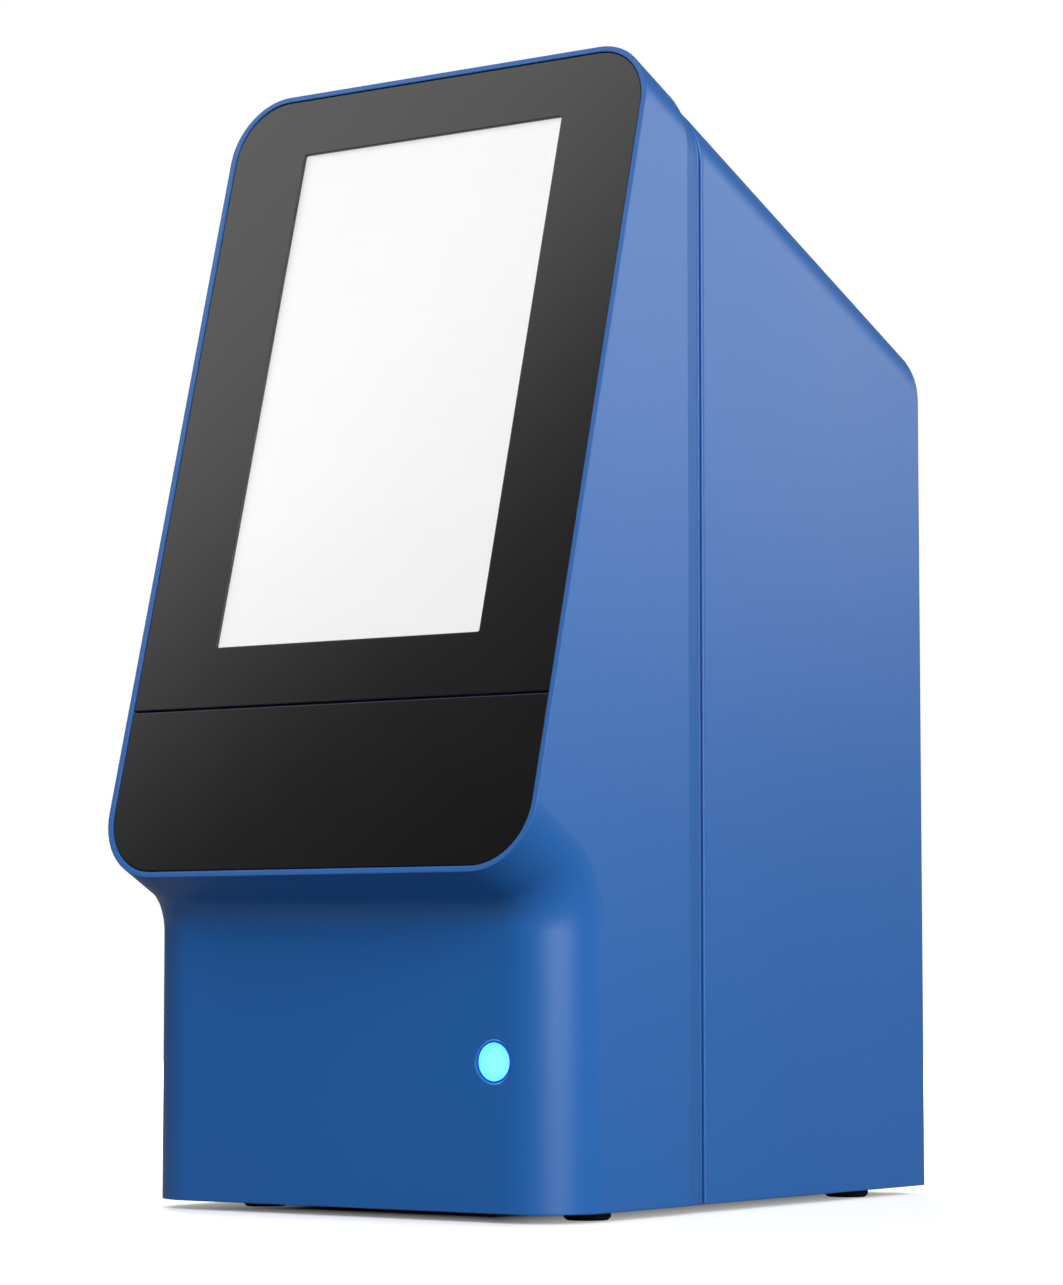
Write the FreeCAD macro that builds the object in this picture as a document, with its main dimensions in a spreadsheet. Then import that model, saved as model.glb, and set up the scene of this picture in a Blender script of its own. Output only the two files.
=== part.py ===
import FreeCAD, Part
import Sketcher
import math
import os
import re

# Point-of-care chemistry analyzer: a moulded housing with a leaning touch screen,
# a disc drawer under it, a label printer in the sloping top and its optics and boards inside.
# Millimetres, +Z up, -Y is the front, origin under the middle of the feet.

SIZES = {
    # housing
    "body_width": 148.0,
    "body_depth": 208.0,
    "body_height": 324.0,
    "foot_height": 2.5,
    "face_lean": 14.83,
    "top_fall": 23.67,
    "under_slope": 28.07,
    "rim_height": 92.4,
    "front_set_back": 17.25,
    "corner_round": 18.6,
    "cove_round": 9.5,
    "wall": 2.6,
    # seam between the front housing and the rear cover
    "seam_set_back": 24.78,
    "band_length": 8.7,
    "bead_start": 2.3,
    "seam_gap": 1.4,
    "band_taper": 1.1,
    "bead_rise": 0.3,
    "cover_inset": 0.75,
    "tongue_clearance": 0.15,
    "tongue_wall": 1.5,
    "tongue_reach": 7.9,
    "cover_edge_round": 0.9,
    "cover_rear_round": 1.2,
    # recess for the black panels
    "rim_width": 1.6,
    "panel_gap": 0.25,
    "panel_sink": 0.3,
    "panel_wall": 3.0,
    "face_wall": 2.4,
    "panel_split": 49.0,
    "split_gap": 0.7,
    "seat_width": 6.5,
    "mouth_ledge": 1.2,
    "mouth_round": 10.0,
    # screen
    "screen_width": 91.8,
    "screen_rise": 18.2,
    "screen_from_top": 19.78,
    "screen_lip": 1.0,
    "glass_border": 3.6,
    "glass_clearance": 0.2,
    "glass_wall": 1.1,
    "display_wall": 5.0,
    "bracket_wall": 1.2,
    "bracket_border": 8.0,
    "board_wall": 1.6,
    "board_standoff": 3.4,
    "display_card_half": 30.0,
    "display_card_in": 44.0,
    "standoff_radius": 2.5,
    # floor, frames and deck
    "sheet": 1.2,
    "frame_sheet": 1.2,
    "inside_gap": 0.3,
    "base_flange": 12.0,
    "frame_inset": 8.0,
    "frame_set_back": 34.0,
    "frame_rise": 12.0,
    "frame_flange": 10.0,
    "frame_window": 30.0,
    "deck_drop": 10.4,
    "deck_set_back": 25.0,
    "deck_from_rear": 34.0,
    "boss_radius": 5.0,
    "boss_height": 18.0,
    "boss_in_corner": 7.9,
    "boss_at_wall": 4.4,
    "screw_radius": 1.25,
    "screw_head": 1.1,
    "screw_length": 9.0,
    "screw_clearance": 0.06,
    "pilot_radius": 1.3,
    "pilot_depth": 13.0,
    # feet
    "foot_radius": 6.4,
    "foot_stem_radius": 2.8,
    "foot_hole_radius": 3.0,
    "foot_from_right": 12.0,
    "foot_from_left": 25.0,
    "foot_from_front": 45.0,
    "foot_from_rear": 27.7,
    # power button
    "button_from_side": 23.05,
    "button_height": 42.46,
    "button_radius": 5.0,
    "button_clearance": 0.08,
    "button_ring_radius": 5.85,
    "button_ring_gap": 0.15,
    "button_sink": 1.35,
    "button_length": 6.0,
    "button_stem_radius": 2.2,
    "button_travel": 1.5,
    "ring_flange_radius": 9.0,
    "ring_flange_wall": 1.8,
    "button_board_depth": 13.0,
    "button_seat": 1.2,
    "button_seat_radius": 10.0,
    # drawer
    "drawer_travel": 100.0,
    "disc_radius": 41.0,
    "disc_set_back": 54.0,
    "disc_depth": 9.0,
    "tray_rise": 12.6,
    "tray_wall": 12.0,
    "tray_inset": 26.5,
    "rack_spare": 2.0,
    "runner_reach": 8.0,
    "runner_rise": 2.7,
    "runner_wall": 3.8,
    "guide_gap": 0.3,
    "guide_room": 4.5,
    "guide_wall": 3.0,
    "guide_lip": 2.4,
    "guide_spare": 4.0,
    "spindle_radius": 17.0,
    "spindle_height": 9.0,
    "shaft_radius": 1.5,
    "shaft_clearance": 0.05,
    "hub_radius": 5.6,
    "hub_height": 8.0,
    "hub_hole_radius": 6.6,
    # rack and pinion
    "tooth_module": 1.0,
    "pinion_teeth": 16,
    "pressure_angle": 20.0,
    "backlash": 0.2,
    "rack_drop": 3.5,
    "rack_inset": 6.5,
    "rack_width": 5.0,
    "rack_lead": 4.0,
    "pinion_width": 4.0,
    "pinion_set_back": 52.0,
    "pinion_shaft_radius": 1.5,
    "motor_radius": 7.6,
    "motor_length": 15.0,
    # optics over the disc
    "heater_gap": 5.0,
    "heater_wall": 3.0,
    "heater_inset": 1.5,
    "heater_set_back": 18.0,
    "heater_length": 76.0,
    "optics_rise": 16.0,
    "optics_length": 70.0,
    "optics_lip": 7.0,
    "lamp_across": 18.0,
    "lamp_half": 15.0,
    "lamp_tall": 22.0,
    "detector_across": 24.0,
    "detector_half": 16.0,
    "detector_tall": 17.0,
    "case_front": 15.0,
    "case_rear": 17.0,
    "optics_fin": 1.5,
    "optics_fin_step": 5.0,
    "post_radius": 3.0,
    "lens_radius": 5.0,
    "lens_clearance": 0.3,
    # label printer
    "door_half": 34.0,
    "door_set_back": 19.94,
    "door_length": 60.0,
    "door_gap": 0.4,
    "paper_slot": 1.2,
    "hinge_drop": 5.5,
    "pin_radius": 1.5,
    "roll_radius": 22.0,
    "roll_set_back": 32.0,
    "roll_drop": 29.5,
    "bucket_wall": 1.6,
    "bucket_half": 30.0,
    "platen_radius": 4.5,
    "platen_half": 28.5,
    "platen_set_back": 6.0,
    "platen_drop": 9.6,
    "head_gap": 0.3,
    "head_depth": 8.2,
    "beam_wall": 2.0,
    "brim_drop": 16.0,
    "cheek_wall": 2.0,
    "cheek_drop": 26.0,
    "cheek_flange": 8.0,
    "door_arm": 3.0,
    "feed_motor_radius": 7.5,
    "feed_motor_length": 14.0,
    # fan
    "fan_size": 60.0,
    "fan_depth": 15.0,
    "fan_drop": 140.0,
    "fan_bore": 28.4,
    "fan_hole_half": 25.0,
    "fan_blade_gap": 0.8,
    "fan_hub_radius": 11.5,
    "fan_blade_wall": 1.2,
    "fan_blade_pitch": 42.0,
    "fan_blade_chord": 14.0,
    "fan_spoke": 2.0,
    "grille_slot": 3.2,
    "grille_step": 6.0,
    # speaker
    "speaker_radius": 14.0,
    "speaker_tall": 8.0,
    "speaker_set_back": 40.0,
    # sockets on the main board
    "board_height": 12.0,
    "board_inset": 8.0,
    "board_length": 139.0,
    "sink_step": 4.0,
    "sink_fin": 1.5,
    "sink_length": 28.0,
    "memory_length": 50.0,
    "memory_wall": 4.0,
    "memory_tall": 14.0,
    "chip_width": 14.0,
    "power_half": 48.0,
    "power_low": 26.0,
    "power_high": 74.0,
    "power_stand": 4.0,
    "coil_tall": 20.0,
    "coil_long": 28.0,
    "can_radius": 7.0,
    "can_tall": 22.0,
    "port_sink": 0.8,
    "port_gap": 0.3,
    "inlet_across": 42.0,
    "inlet_width": 11.0,
    "inlet_height": 11.0,
    "inlet_depth": 14.0,
    "inlet_hole_radius": 3.1,
    "inlet_pin_radius": 1.0,
    "network_across": 14.0,
    "network_width": 16.0,
    "network_height": 13.5,
    "network_depth": 21.0,
    "usb_across": -14.0,
    "usb_width": 14.4,
    "usb_height": 15.6,
    "usb_depth": 17.0,
}

# Places that follow from the sizes
PLACES = {
    "top_edge": "-body_depth / 2 + (body_height - rim_height) * tan(face_lean)",
    "face_length": "(body_height - rim_height) / cos(face_lean)",
    "cover_start": "top_edge + seam_set_back",
    "band_front": "cover_start - band_length",
    "band_end": "cover_start - bead_start",
    "housing_end": "cover_start - seam_gap",
    "tongue_end": "cover_start + tongue_reach",
    "screen_low": "panel_split + screen_rise",
    "screen_high": "face_length - screen_from_top",
    "foot_right": "body_width / 2 - foot_from_right",
    "foot_left": "foot_from_left - body_width / 2",
    "foot_front": "foot_from_front - body_depth / 2",
    "foot_rear": "body_depth / 2 - foot_from_rear",
    "button_across": "body_width / 2 - button_from_side",
    "deck_height": "rim_height - deck_drop",
    "deck_front": "deck_set_back - body_depth / 2",
    "deck_rear": "body_depth / 2 - deck_from_rear",
    "tray_low": "rim_height + tray_rise",
    "tray_high": "tray_low + tray_wall",
    "tray_half": "body_width / 2 - tray_inset",
    "runner_half": "tray_half + runner_reach",
    "runner_low": "tray_low + runner_rise",
    "runner_high": "runner_low + runner_wall",
    "guide_half": "runner_half + guide_room",
    "disc_centre": "disc_set_back - body_depth / 2",
    "pinion_depth": "pinion_set_back - body_depth / 2",
    "tray_rear": "pinion_depth + drawer_travel + rack_spare",
    "guide_rear": "tray_rear + guide_spare",
    "rack_pitch_height": "tray_low - rack_drop",
    "rack_left": "tray_half - rack_inset",
    "rack_front": "pinion_depth - rack_lead",
    "pinion_across": "rack_left + rack_width / 2",
    "heater_low": "tray_high + heater_gap",
    "heater_half": "tray_half - heater_inset",
    "heater_front": "heater_set_back - body_depth / 2",
    "heater_rear": "heater_front + heater_length",
    "frame_half": "body_width / 2 - frame_inset",
    "frame_front": "frame_set_back - body_depth / 2",
    "optics_deck": "heater_low + optics_rise",
    "optics_rear": "frame_front + optics_length",
    "frame_top": "optics_deck + frame_rise",
    "door_front": "seam_set_back / cos(top_fall) + door_set_back",
    "door_hinge": "door_front + door_length",
    "roll_centre": "door_front + roll_set_back",
    "platen_place": "door_front + platen_set_back",
    "fan_height": "body_height - fan_drop",
    "board_half": "frame_half - board_inset",
    "board_front": "body_depth / 2 - board_length",
}

FAN_BLADES = 7
TALLY = {"body": 0}

doc = FreeCAD.newDocument("Analyzer")
sheet = doc.addObject("Spreadsheet::Sheet", "Sizes")
for row, (alias, value) in enumerate(SIZES.items(), start=1):
    sheet.set(f"A{row}", alias)
    sheet.set(f"B{row}", str(value))
    sheet.setAlias(f"B{row}", alias)
doc.recompute()
reader = doc.addObject("App::FeaturePython", "Reader")

SIZE_WORDS = re.compile(r"\b(" + "|".join(SIZES) + r")\b")
PLACE_WORDS = re.compile(r"\b(" + "|".join(PLACES) + r")\b")
Vector = FreeCAD.Vector
NODES = {}


def sized(text):
    """An expression in plain names, written for the sheet with each place spelled out."""
    text = str(text)
    while PLACE_WORDS.search(text):
        text = PLACE_WORDS.sub(lambda found: f"({PLACES[found.group(1)]})", text)
    return SIZE_WORDS.sub(r"Sizes.\1", text)


def number(text):
    """The value in millimetres or degrees of an expression in size names."""
    return float(reader.evalExpression(sized(text)))


def bind(thing, prop, text):
    thing.setExpression(prop, sized(text))


class Frame:
    """A set of axes that leans about X: world axes, the face's axes or the top's axes."""

    def __init__(self, y, z, angle):
        self.y, self.z, self.angle = y, z, angle

    def place(self, thing, x, y, z, turn=None):
        lean = FreeCAD.Rotation(Vector(1, 0, 0), number(self.angle))
        if turn:
            thing.Placement = FreeCAD.Placement(Vector(), turn)
        else:
            thing.Placement = FreeCAD.Placement(Vector(), lean)
            if self.angle != "0":
                bind(thing, "Placement.Rotation.Angle", self.angle)
        bind(thing, "Placement.Base.x", x)
        bind(thing, "Placement.Base.y", self.world_y(y, z))
        bind(thing, "Placement.Base.z", self.world_z(y, z))

    def world_y(self, y, z):
        if self.angle == "0":
            return f"{y}"
        return f"({self.y}) + ({y}) * cos({self.angle}) - ({z}) * sin({self.angle})"

    def world_z(self, y, z):
        if self.angle == "0":
            return f"{z}"
        return f"({self.z}) + ({y}) * sin({self.angle}) + ({z}) * cos({self.angle})"


WORLD = Frame("0", "0", "0")
FACE = Frame("-body_depth / 2", "rim_height", "-face_lean")
TOP = Frame("top_edge", "body_height", "-top_fall")

ALONG_X = FreeCAD.Rotation(Vector(0, 1, 0), 90)
ALONG_Y = FreeCAD.Rotation(Vector(1, 0, 0), -90)


def node(name, thing):
    """Keep a finished piece under its own label."""
    thing.Label = name
    NODES[name] = thing
    return thing


def block(name, x, y, z, frame=WORLD):
    """A box between two values on each axis of a frame."""
    box = doc.addObject("Part::Box", name)
    bind(box, "Length", f"({x[1]}) - ({x[0]})")
    bind(box, "Width", f"({y[1]}) - ({y[0]})")
    bind(box, "Height", f"({z[1]}) - ({z[0]})")
    frame.place(box, x[0], y[0], z[0])
    return box


def rod(name, along, start, radius, length, frame=WORLD):
    """A round bar that starts at a point and runs along +X, +Y or +Z."""
    bar = doc.addObject("Part::Cylinder", name)
    bind(bar, "Radius", radius)
    bind(bar, "Height", length)
    lean = FreeCAD.Rotation(Vector(1, 0, 0), number(frame.angle))
    turn = {"x": ALONG_X, "y": lean * ALONG_Y, "z": lean}[along]
    frame.place(bar, start[0], start[1], start[2], turn)
    return bar


def fused(name, parts):
    joined = doc.addObject("Part::MultiFuse", name)
    joined.Shapes = parts
    joined.Refine = True
    return joined


def cut(name, base, tools):
    """A solid less one or more tools."""
    taken = doc.addObject("Part::Cut", name)
    taken.Base = base
    taken.Tool = tools[0] if len(tools) == 1 else fused(name + "_tools", tools)
    return taken


def shared(name, first, second):
    overlap = doc.addObject("Part::Common", name)
    overlap.Base = first
    overlap.Tool = second
    return overlap


def origin_plane(body, role):
    return next(item for item in body.Origin.OriginFeatures if item.Role == role)


def draw(sketch, loops):
    """Closed loops of straight lines, or circles, each point bound to its expressions."""
    for loop in loops:
        first = sketch.GeometryCount
        if loop[0] == "circle":
            (u, v), radius = loop[1], loop[2]
            middle = Vector(number(u), number(v), 0)
            sketch.addGeometry(Part.Circle(middle, Vector(0, 0, 1), number(radius)), False)
            held = sketch.addConstraint(Sketcher.Constraint("Radius", first, number(radius)))
            bind(sketch, f"Constraints[{held}]", radius)
            pin_point(sketch, first, 3, u, v)
            continue
        spots = [Vector(number(u), number(v), 0) for u, v in loop]
        count = len(spots)
        for index in range(count):
            line = Part.LineSegment(spots[index], spots[(index + 1) % count])
            sketch.addGeometry(line, False)
        for index in range(count):
            follower = first + (index + 1) % count
            sketch.addConstraint(Sketcher.Constraint("Coincident", first + index, 2, follower, 1))
        for index, (u, v) in enumerate(loop):
            pin_point(sketch, first + index, 1, u, v)


def pin_point(sketch, item, end, u, v):
    """Hold one point of a sketch at two bound coordinates."""
    for kind, text in (("DistanceX", u), ("DistanceY", v)):
        held = sketch.addConstraint(Sketcher.Constraint(kind, item, end, number(text)))
        bind(sketch, f"Constraints[{held}]", text)


def new_body(role, loops, offset="0"):
    """A body with one sketch on one of its own origin planes."""
    TALLY["body"] += 1
    body = doc.addObject("PartDesign::Body", f"Body{TALLY['body']}")
    sketch = body.newObject("Sketcher::SketchObject", f"Sketch{TALLY['body']}")
    sketch.AttachmentSupport = [(origin_plane(body, role), "")]
    sketch.MapMode = "FlatFace"
    bind(sketch, "AttachmentOffset.Base.z", offset)
    draw(sketch, loops)
    return body, sketch


def extrude(role, loops, start, stop, frame=WORLD):
    """Pad a sketch on XY, XZ or YZ between two heights along the third axis."""
    offset = f"-({stop})" if role == "XZ_Plane" else start
    body, sketch = new_body(role, loops, offset)
    pad = body.newObject("PartDesign::Pad", f"Pad{TALLY['body']}")
    pad.Profile = sketch
    bind(pad, "Length", f"({stop}) - ({start})")
    frame.place(body, "0", "0", "0")
    return body


def turned(profile, x, y, z, turn=None, frame=WORLD):
    """Revolve a profile of radius and height about an upright axis, then place it."""
    body, sketch = new_body("XZ_Plane", [profile])
    spin = body.newObject("PartDesign::Revolution", f"Turn{TALLY['body']}")
    spin.Profile = sketch
    spin.ReferenceAxis = (sketch, ["V_Axis"])
    spin.Angle = 360
    frame.place(body, x, y, z, turn)
    return body


def soften(body, radius, chosen):
    """Round the edges of a body that a test picks by their middle point and direction."""
    doc.recompute()
    names = []
    for index, edge in enumerate(body.Shape.Edges, start=1):
        middle = edge.valueAt((edge.FirstParameter + edge.LastParameter) / 2)
        local = body.Placement.inverse().multVec(middle)
        if chosen(edge, local):
            names.append(f"Edge{index}")
    TALLY["body"] += 1
    sharp = body.Tip
    rounding = body.newObject("PartDesign::Fillet", f"Fillet{TALLY['body']}")
    rounding.Base = (sharp, names)
    bind(rounding, "Radius", radius)
    return body


def upright(edge):
    """True for a straight edge that runs along Z of its body."""
    ends = [vertex.Point for vertex in edge.Vertexes]
    return len(ends) == 2 and abs(ends[0].x - ends[1].x) < 0.01 and abs(ends[0].y - ends[1].y) < 0.01


def rectangle(u0, u1, v0, v1):
    return [(u0, v0), (u1, v0), (u1, v1), (u0, v1)]


# Lines of the side view, each set in from the outside by a distance
FRONT = "body_depth / 2"


def slant_y(z, inset):
    return f"(-{FRONT} + ({inset}) / cos(face_lean) + (({z}) - rim_height) * tan(face_lean))"


def top_z(y, inset):
    return f"(body_height - (({y}) - top_edge) * tan(top_fall) - ({inset}) / cos(top_fall))"


def under_z(y, inset):
    return f"(rim_height - (({y}) + {FRONT}) * tan(under_slope) + ({inset}) / cos(under_slope))"


def crown_y(face_inset, inset):
    """Where the slanted face meets the top."""
    rise = f"(body_height - rim_height + top_edge * tan(top_fall) - ({inset}) / cos(top_fall))"
    reach = f"(-{FRONT} + ({face_inset}) / cos(face_lean) + {rise} * tan(face_lean))"
    return f"({reach} / (1 + tan(top_fall) * tan(face_lean)))"


def chin_y(face_inset, inset):
    """Where the slanted face meets the underside of the hood."""
    lift = f"({FRONT} * tan(under_slope) - ({inset}) / cos(under_slope))"
    reach = f"(-{FRONT} + ({face_inset}) / cos(face_lean) - {lift} * tan(face_lean))"
    return f"({reach} / (1 + tan(under_slope) * tan(face_lean)))"


def half_width(inset):
    return f"(body_width / 2 - ({inset}))"


SHELL_FRONT = f"(-{FRONT} + front_set_back)"


def side_outline(inset, face_inset, low, rear):
    """The side view of the front housing, set in from its outside."""
    front = f"({SHELL_FRONT} + ({inset}))"
    crown = crown_y(face_inset, inset)
    chin = chin_y(face_inset, inset)
    return [
        (front, low),
        (rear, low),
        (rear, top_z(rear, inset)),
        (crown, top_z(crown, inset)),
        (chin, under_z(chin, inset)),
        (front, under_z(front, inset)),
    ]


def housing_solid(inset, face_inset, low, rear):
    """The hood and lower front as one solid, with its cove and its rounded side edges."""
    half = half_width(inset)
    outline = side_outline(inset, face_inset, low, rear)
    body = extrude("YZ_Plane", [outline], f"-{half}", half)
    throat_y = number(outline[5][0])
    throat_z = number(outline[5][1])

    def throat(edge, middle):
        return abs(middle.y - throat_y) < 0.01 and abs(middle.z - throat_z) < 0.01

    soften(body, f"cove_round + ({inset})", throat)
    width = number(half)
    low_z = number(low)
    rear_y = number(rear)
    crown = Vector(0, number(outline[3][0]), number(outline[3][1]))
    chin = Vector(0, number(outline[4][0]), number(outline[4][1]))
    face_middle = (crown + chin) * 0.5

    def side(edge, middle):
        on_side = abs(abs(middle.x) - width) < 0.01
        on_face = (Vector(0, middle.y, middle.z) - face_middle).Length < 0.5
        at_end = abs(middle.z - low_z) < 0.01 or abs(middle.y - rear_y) < 0.01
        return on_side and not on_face and not at_end

    soften(body, f"corner_round - ({inset})", side)
    return body


def cover_solid(inset, low, front, rear):
    """The rear part of the shell as one solid: upright sides and the sloping top."""
    half = half_width(inset)
    outline = [(front, low), (rear, low), (rear, top_z(rear, inset)), (front, top_z(front, inset))]
    body = extrude("YZ_Plane", [outline], f"-{half}", half)
    width = number(half)

    def shoulder(edge, middle):
        slope = edge.Vertexes[0].Point - edge.Vertexes[-1].Point
        return abs(abs(middle.x) - width) < 0.01 and abs(slope.y) > 0.1 and abs(slope.z) > 0.1

    soften(body, f"corner_round - ({inset})", shoulder)
    return body


def arch(inset, y):
    """The closed section of the shell at one depth: a bar with two rounded upper corners."""
    half = number(half_width(inset))
    round_x = number(f"corner_round - ({inset})")
    round_z = number(f"(corner_round - ({inset})) / cos(top_fall)")
    low = number("foot_height")
    high = number(top_z(y, inset))
    depth = number(y)
    edges = [Part.makeLine(Vector(-half, depth, low), Vector(half, depth, low))]
    shoulder = high - round_z
    edges.append(Part.makeLine(Vector(half, depth, low), Vector(half, depth, shoulder)))
    for hand in (1, -1):
        centre = Vector(hand * (half - round_x), depth, shoulder)
        top = centre + Vector(0, 0, round_z)
        curve = Part.Ellipse(top, centre + Vector(hand * round_x, 0, 0), centre)
        edges.append(Part.Arc(curve, 0, math.pi / 2).toShape())
    crest = Vector(half - round_x, depth, high)
    edges.append(Part.makeLine(crest, Vector(-crest.x, depth, high)))
    edges.append(Part.makeLine(Vector(-half, depth, shoulder), Vector(-half, depth, low)))
    return Part.Wire(Part.__sortEdges__(edges))


def taper_band():
    """The last stretch of the front housing, which draws in towards the seam."""
    band = doc.addObject("Part::Feature", "SeamBand")
    sections = [arch("0", "band_front"), arch("band_taper", "band_end")]
    band.Shape = Part.makeLoft(sections, True, True)
    return band


def round_end(body, radius, y, low):
    """Round the outer edges of a shell solid at one end, but not along its foot."""
    end = number(y)
    floor = number(low)

    def rim(edge, middle):
        return abs(middle.y - end) < 0.01 and middle.z > floor + 0.1

    return soften(body, radius, rim)


PANEL_DEPTH = "(panel_sink + panel_wall)"
FACE_DEPTH = "(panel_sink + panel_wall + face_wall)"
RECESS_LOW = "(rim_height + rim_width * cos(face_lean))"
RECESS_HIGH = "(body_height - rim_width * cos(face_lean))"
SPLIT_LOW = "(rim_height + (panel_split - split_gap / 2) * cos(face_lean))"
SPLIT_HIGH = "(rim_height + (panel_split + split_gap / 2) * cos(face_lean))"


def face_slab(near, far):
    """A slab parallel to the slanted face, between two depths behind it."""
    low, high = "rim_height - 30", "body_height + 30"
    outline = [
        (slant_y(low, near), low),
        (slant_y(low, far), low),
        (slant_y(high, far), high),
        (slant_y(high, near), high),
    ]
    return extrude("YZ_Plane", [outline], "-body_width", "body_width")


def face_plate(inset, low, high, near, far, rounded):
    """A plate in the slanted face, its edges cut along Y, with its own outer corners rounded."""
    half = half_width(inset)
    body = extrude("XZ_Plane", [rectangle(f"-{half}", half, low, high)], "-body_depth", "0")
    levels = [number(level) for level in rounded]

    def corner(edge, middle):
        ends = [vertex.Point for vertex in edge.Vertexes]
        along = abs(ends[0].y - ends[-1].y) > 1
        return along and any(abs(middle.z - level) < 0.01 for level in levels)

    soften(body, f"corner_round - ({inset})", corner)
    return shared("FacePlate", body, face_slab(near, far))


def rounded_window(frame, x_half, z_low, z_high, near, far, radius):
    """A cutting block with four rounded corners, seen along Y of its frame."""
    loop = rectangle(f"-({x_half})", x_half, z_low, z_high)
    body = extrude("XZ_Plane", [loop], near, far, frame)

    def corner(edge, middle):
        return edge_runs(edge, body, "y")

    return soften(body, radius, corner)


def edge_runs(edge, body, letter):
    """True for a straight edge along one axis of its body."""
    turn = body.Placement.Rotation.inverted()
    ends = [turn.multVec(vertex.Point) for vertex in edge.Vertexes]
    if len(ends) != 2:
        return False
    step = ends[1] - ends[0]
    others = [abs(getattr(step, other)) for other in "xyz" if other != letter]
    return max(others) < 0.01


FLOOR = "(foot_height + sheet)"
SEAT_Y = f"({SHELL_FRONT} + wall)"
REAR_INSIDE = "(body_depth / 2 - wall)"
TONGUE_OUT = "(cover_inset + wall + tongue_clearance)"
TONGUE_IN = "(cover_inset + wall + tongue_clearance + tongue_wall)"


def screw_bosses(spots):
    """Round posts in the corners of a shell that the floor screws go up into."""
    return [rod("Boss", "z", (x, y, FLOOR), "boss_radius", "boss_height") for x, y in spots]


def pilot_holes(spots):
    return [rod("Pilot", "z", (x, y, f"{FLOOR} - 1"), "pilot_radius", "pilot_depth + 1") for x, y in spots]


def make_front_housing():
    outer = housing_solid("0", "0", "foot_height", "band_front")
    ridge = cover_solid("band_taper - bead_rise", "foot_height", "band_front - 20", "housing_end")
    round_end(ridge, "bead_rise", "housing_end", "foot_height")
    slice_x = ("-body_width", "body_width")
    slice_z = ("0", "body_height")
    bead = shared("Bead", ridge, block("BeadSlice", slice_x, ("band_end", "housing_end + 1"), slice_z))
    tongue = cover_solid(TONGUE_OUT, "foot_height", "band_front", "tongue_end")
    skin = fused("HousingSkin", [outer, taper_band(), bead, tongue])
    deep = "foot_height - 6"
    hollow = housing_solid("wall", FACE_DEPTH, deep, "band_front - 1.5")
    throat = cover_solid(TONGUE_IN, deep, "band_front - 6", "tongue_end + 5")
    recess = face_plate(
        "rim_width", RECESS_LOW, RECESS_HIGH, "-20", PANEL_DEPTH, (RECESS_LOW, RECESS_HIGH)
    )
    window = rounded_window(
        FACE, "screen_width / 2 + 9", "screen_low - 11", "screen_high + 11", "-5", "12", "5"
    )
    mouth = rounded_window(
        WORLD, half_width("rim_width + seat_width"), f"{RECESS_LOW} + mouth_ledge",
        f"{SPLIT_LOW} - 4", "-body_depth", f"{SEAT_Y} + 3", "mouth_round"
    )
    shell = cut("HousingShell", skin, [hollow, throat, recess, window, mouth])
    spots = floor_screw_spots()[:2]
    bosses = screw_bosses(spots)
    bosses.append(rod(
        "ButtonSeat", "y", ("button_across", f"{SEAT_Y} - 0.5", "button_height"),
        "button_seat_radius", "button_seat + 0.5"
    ))
    holes = pilot_holes(spots)
    holes.append(rod(
        "ButtonHole", "y", ("button_across", f"{SHELL_FRONT} - 5", "button_height"),
        "button_ring_radius + button_ring_gap", "wall + 10"
    ))
    node("front_housing", cut("FrontHousing", fused("HousingBosses", [shell] + bosses), holes))


def make_rear_cover():
    rear = "body_depth / 2"
    outer = cover_solid("cover_inset", "foot_height", "cover_start", rear)
    round_end(outer, "cover_edge_round", "cover_start", "foot_height")
    round_end(outer, "cover_rear_round", rear, "foot_height")
    hollow = cover_solid("cover_inset + wall", "foot_height - 6", "cover_start - 6", REAR_INSIDE)
    behind = f"{REAR_INSIDE} - 2"
    tools = [hollow]
    rows = int(number("fan_bore / grille_step"))
    for row in range(-rows, rows + 1):
        across = f"{row} * grille_step"
        reach = f"sqrt(fan_bore ^ 2 - ({across}) ^ 2) - 1.5"
        tools.append(block(
            "Slot", (f"{across} - grille_slot / 2", f"{across} + grille_slot / 2"),
            (behind, f"{rear} + 2"), (f"fan_height - ({reach})", f"fan_height + ({reach})")
        ))
    for name in ("inlet", "network", "usb"):
        half = f"({name}_width / 2 + port_gap)"
        tools.append(block(
            "Port", (f"{name}_across - {half}", f"{name}_across + {half}"), (behind, f"{rear} + 2"),
            (f"{BOARD_TOP} - port_gap", f"{BOARD_TOP} + {name}_height + port_gap")
        ))
    tools.append(block(
        "DoorHole", ("-(door_half + door_gap)", "door_half + door_gap"),
        ("door_front - paper_slot", "door_hinge + hinge_drop - cover_inset + door_gap"),
        ("-(cover_inset + wall + 1)", "2"), TOP
    ))
    shell = cut("CoverShell", outer, tools)
    spots = floor_screw_spots()[2:]
    body = fused("CoverBosses", [shell] + screw_bosses(spots))
    holes = pilot_holes(spots) + [fan_screw(x, z, "screw_clearance", "10") for x, z in fan_corners()]
    node("rear_cover", cut("RearCover", body, holes))


BASE_HALF = half_width(f"{TONGUE_IN} + inside_gap")
BASE_FRONT = f"({SEAT_Y} + inside_gap)"
BASE_REAR = f"({REAR_INSIDE} - inside_gap)"


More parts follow.
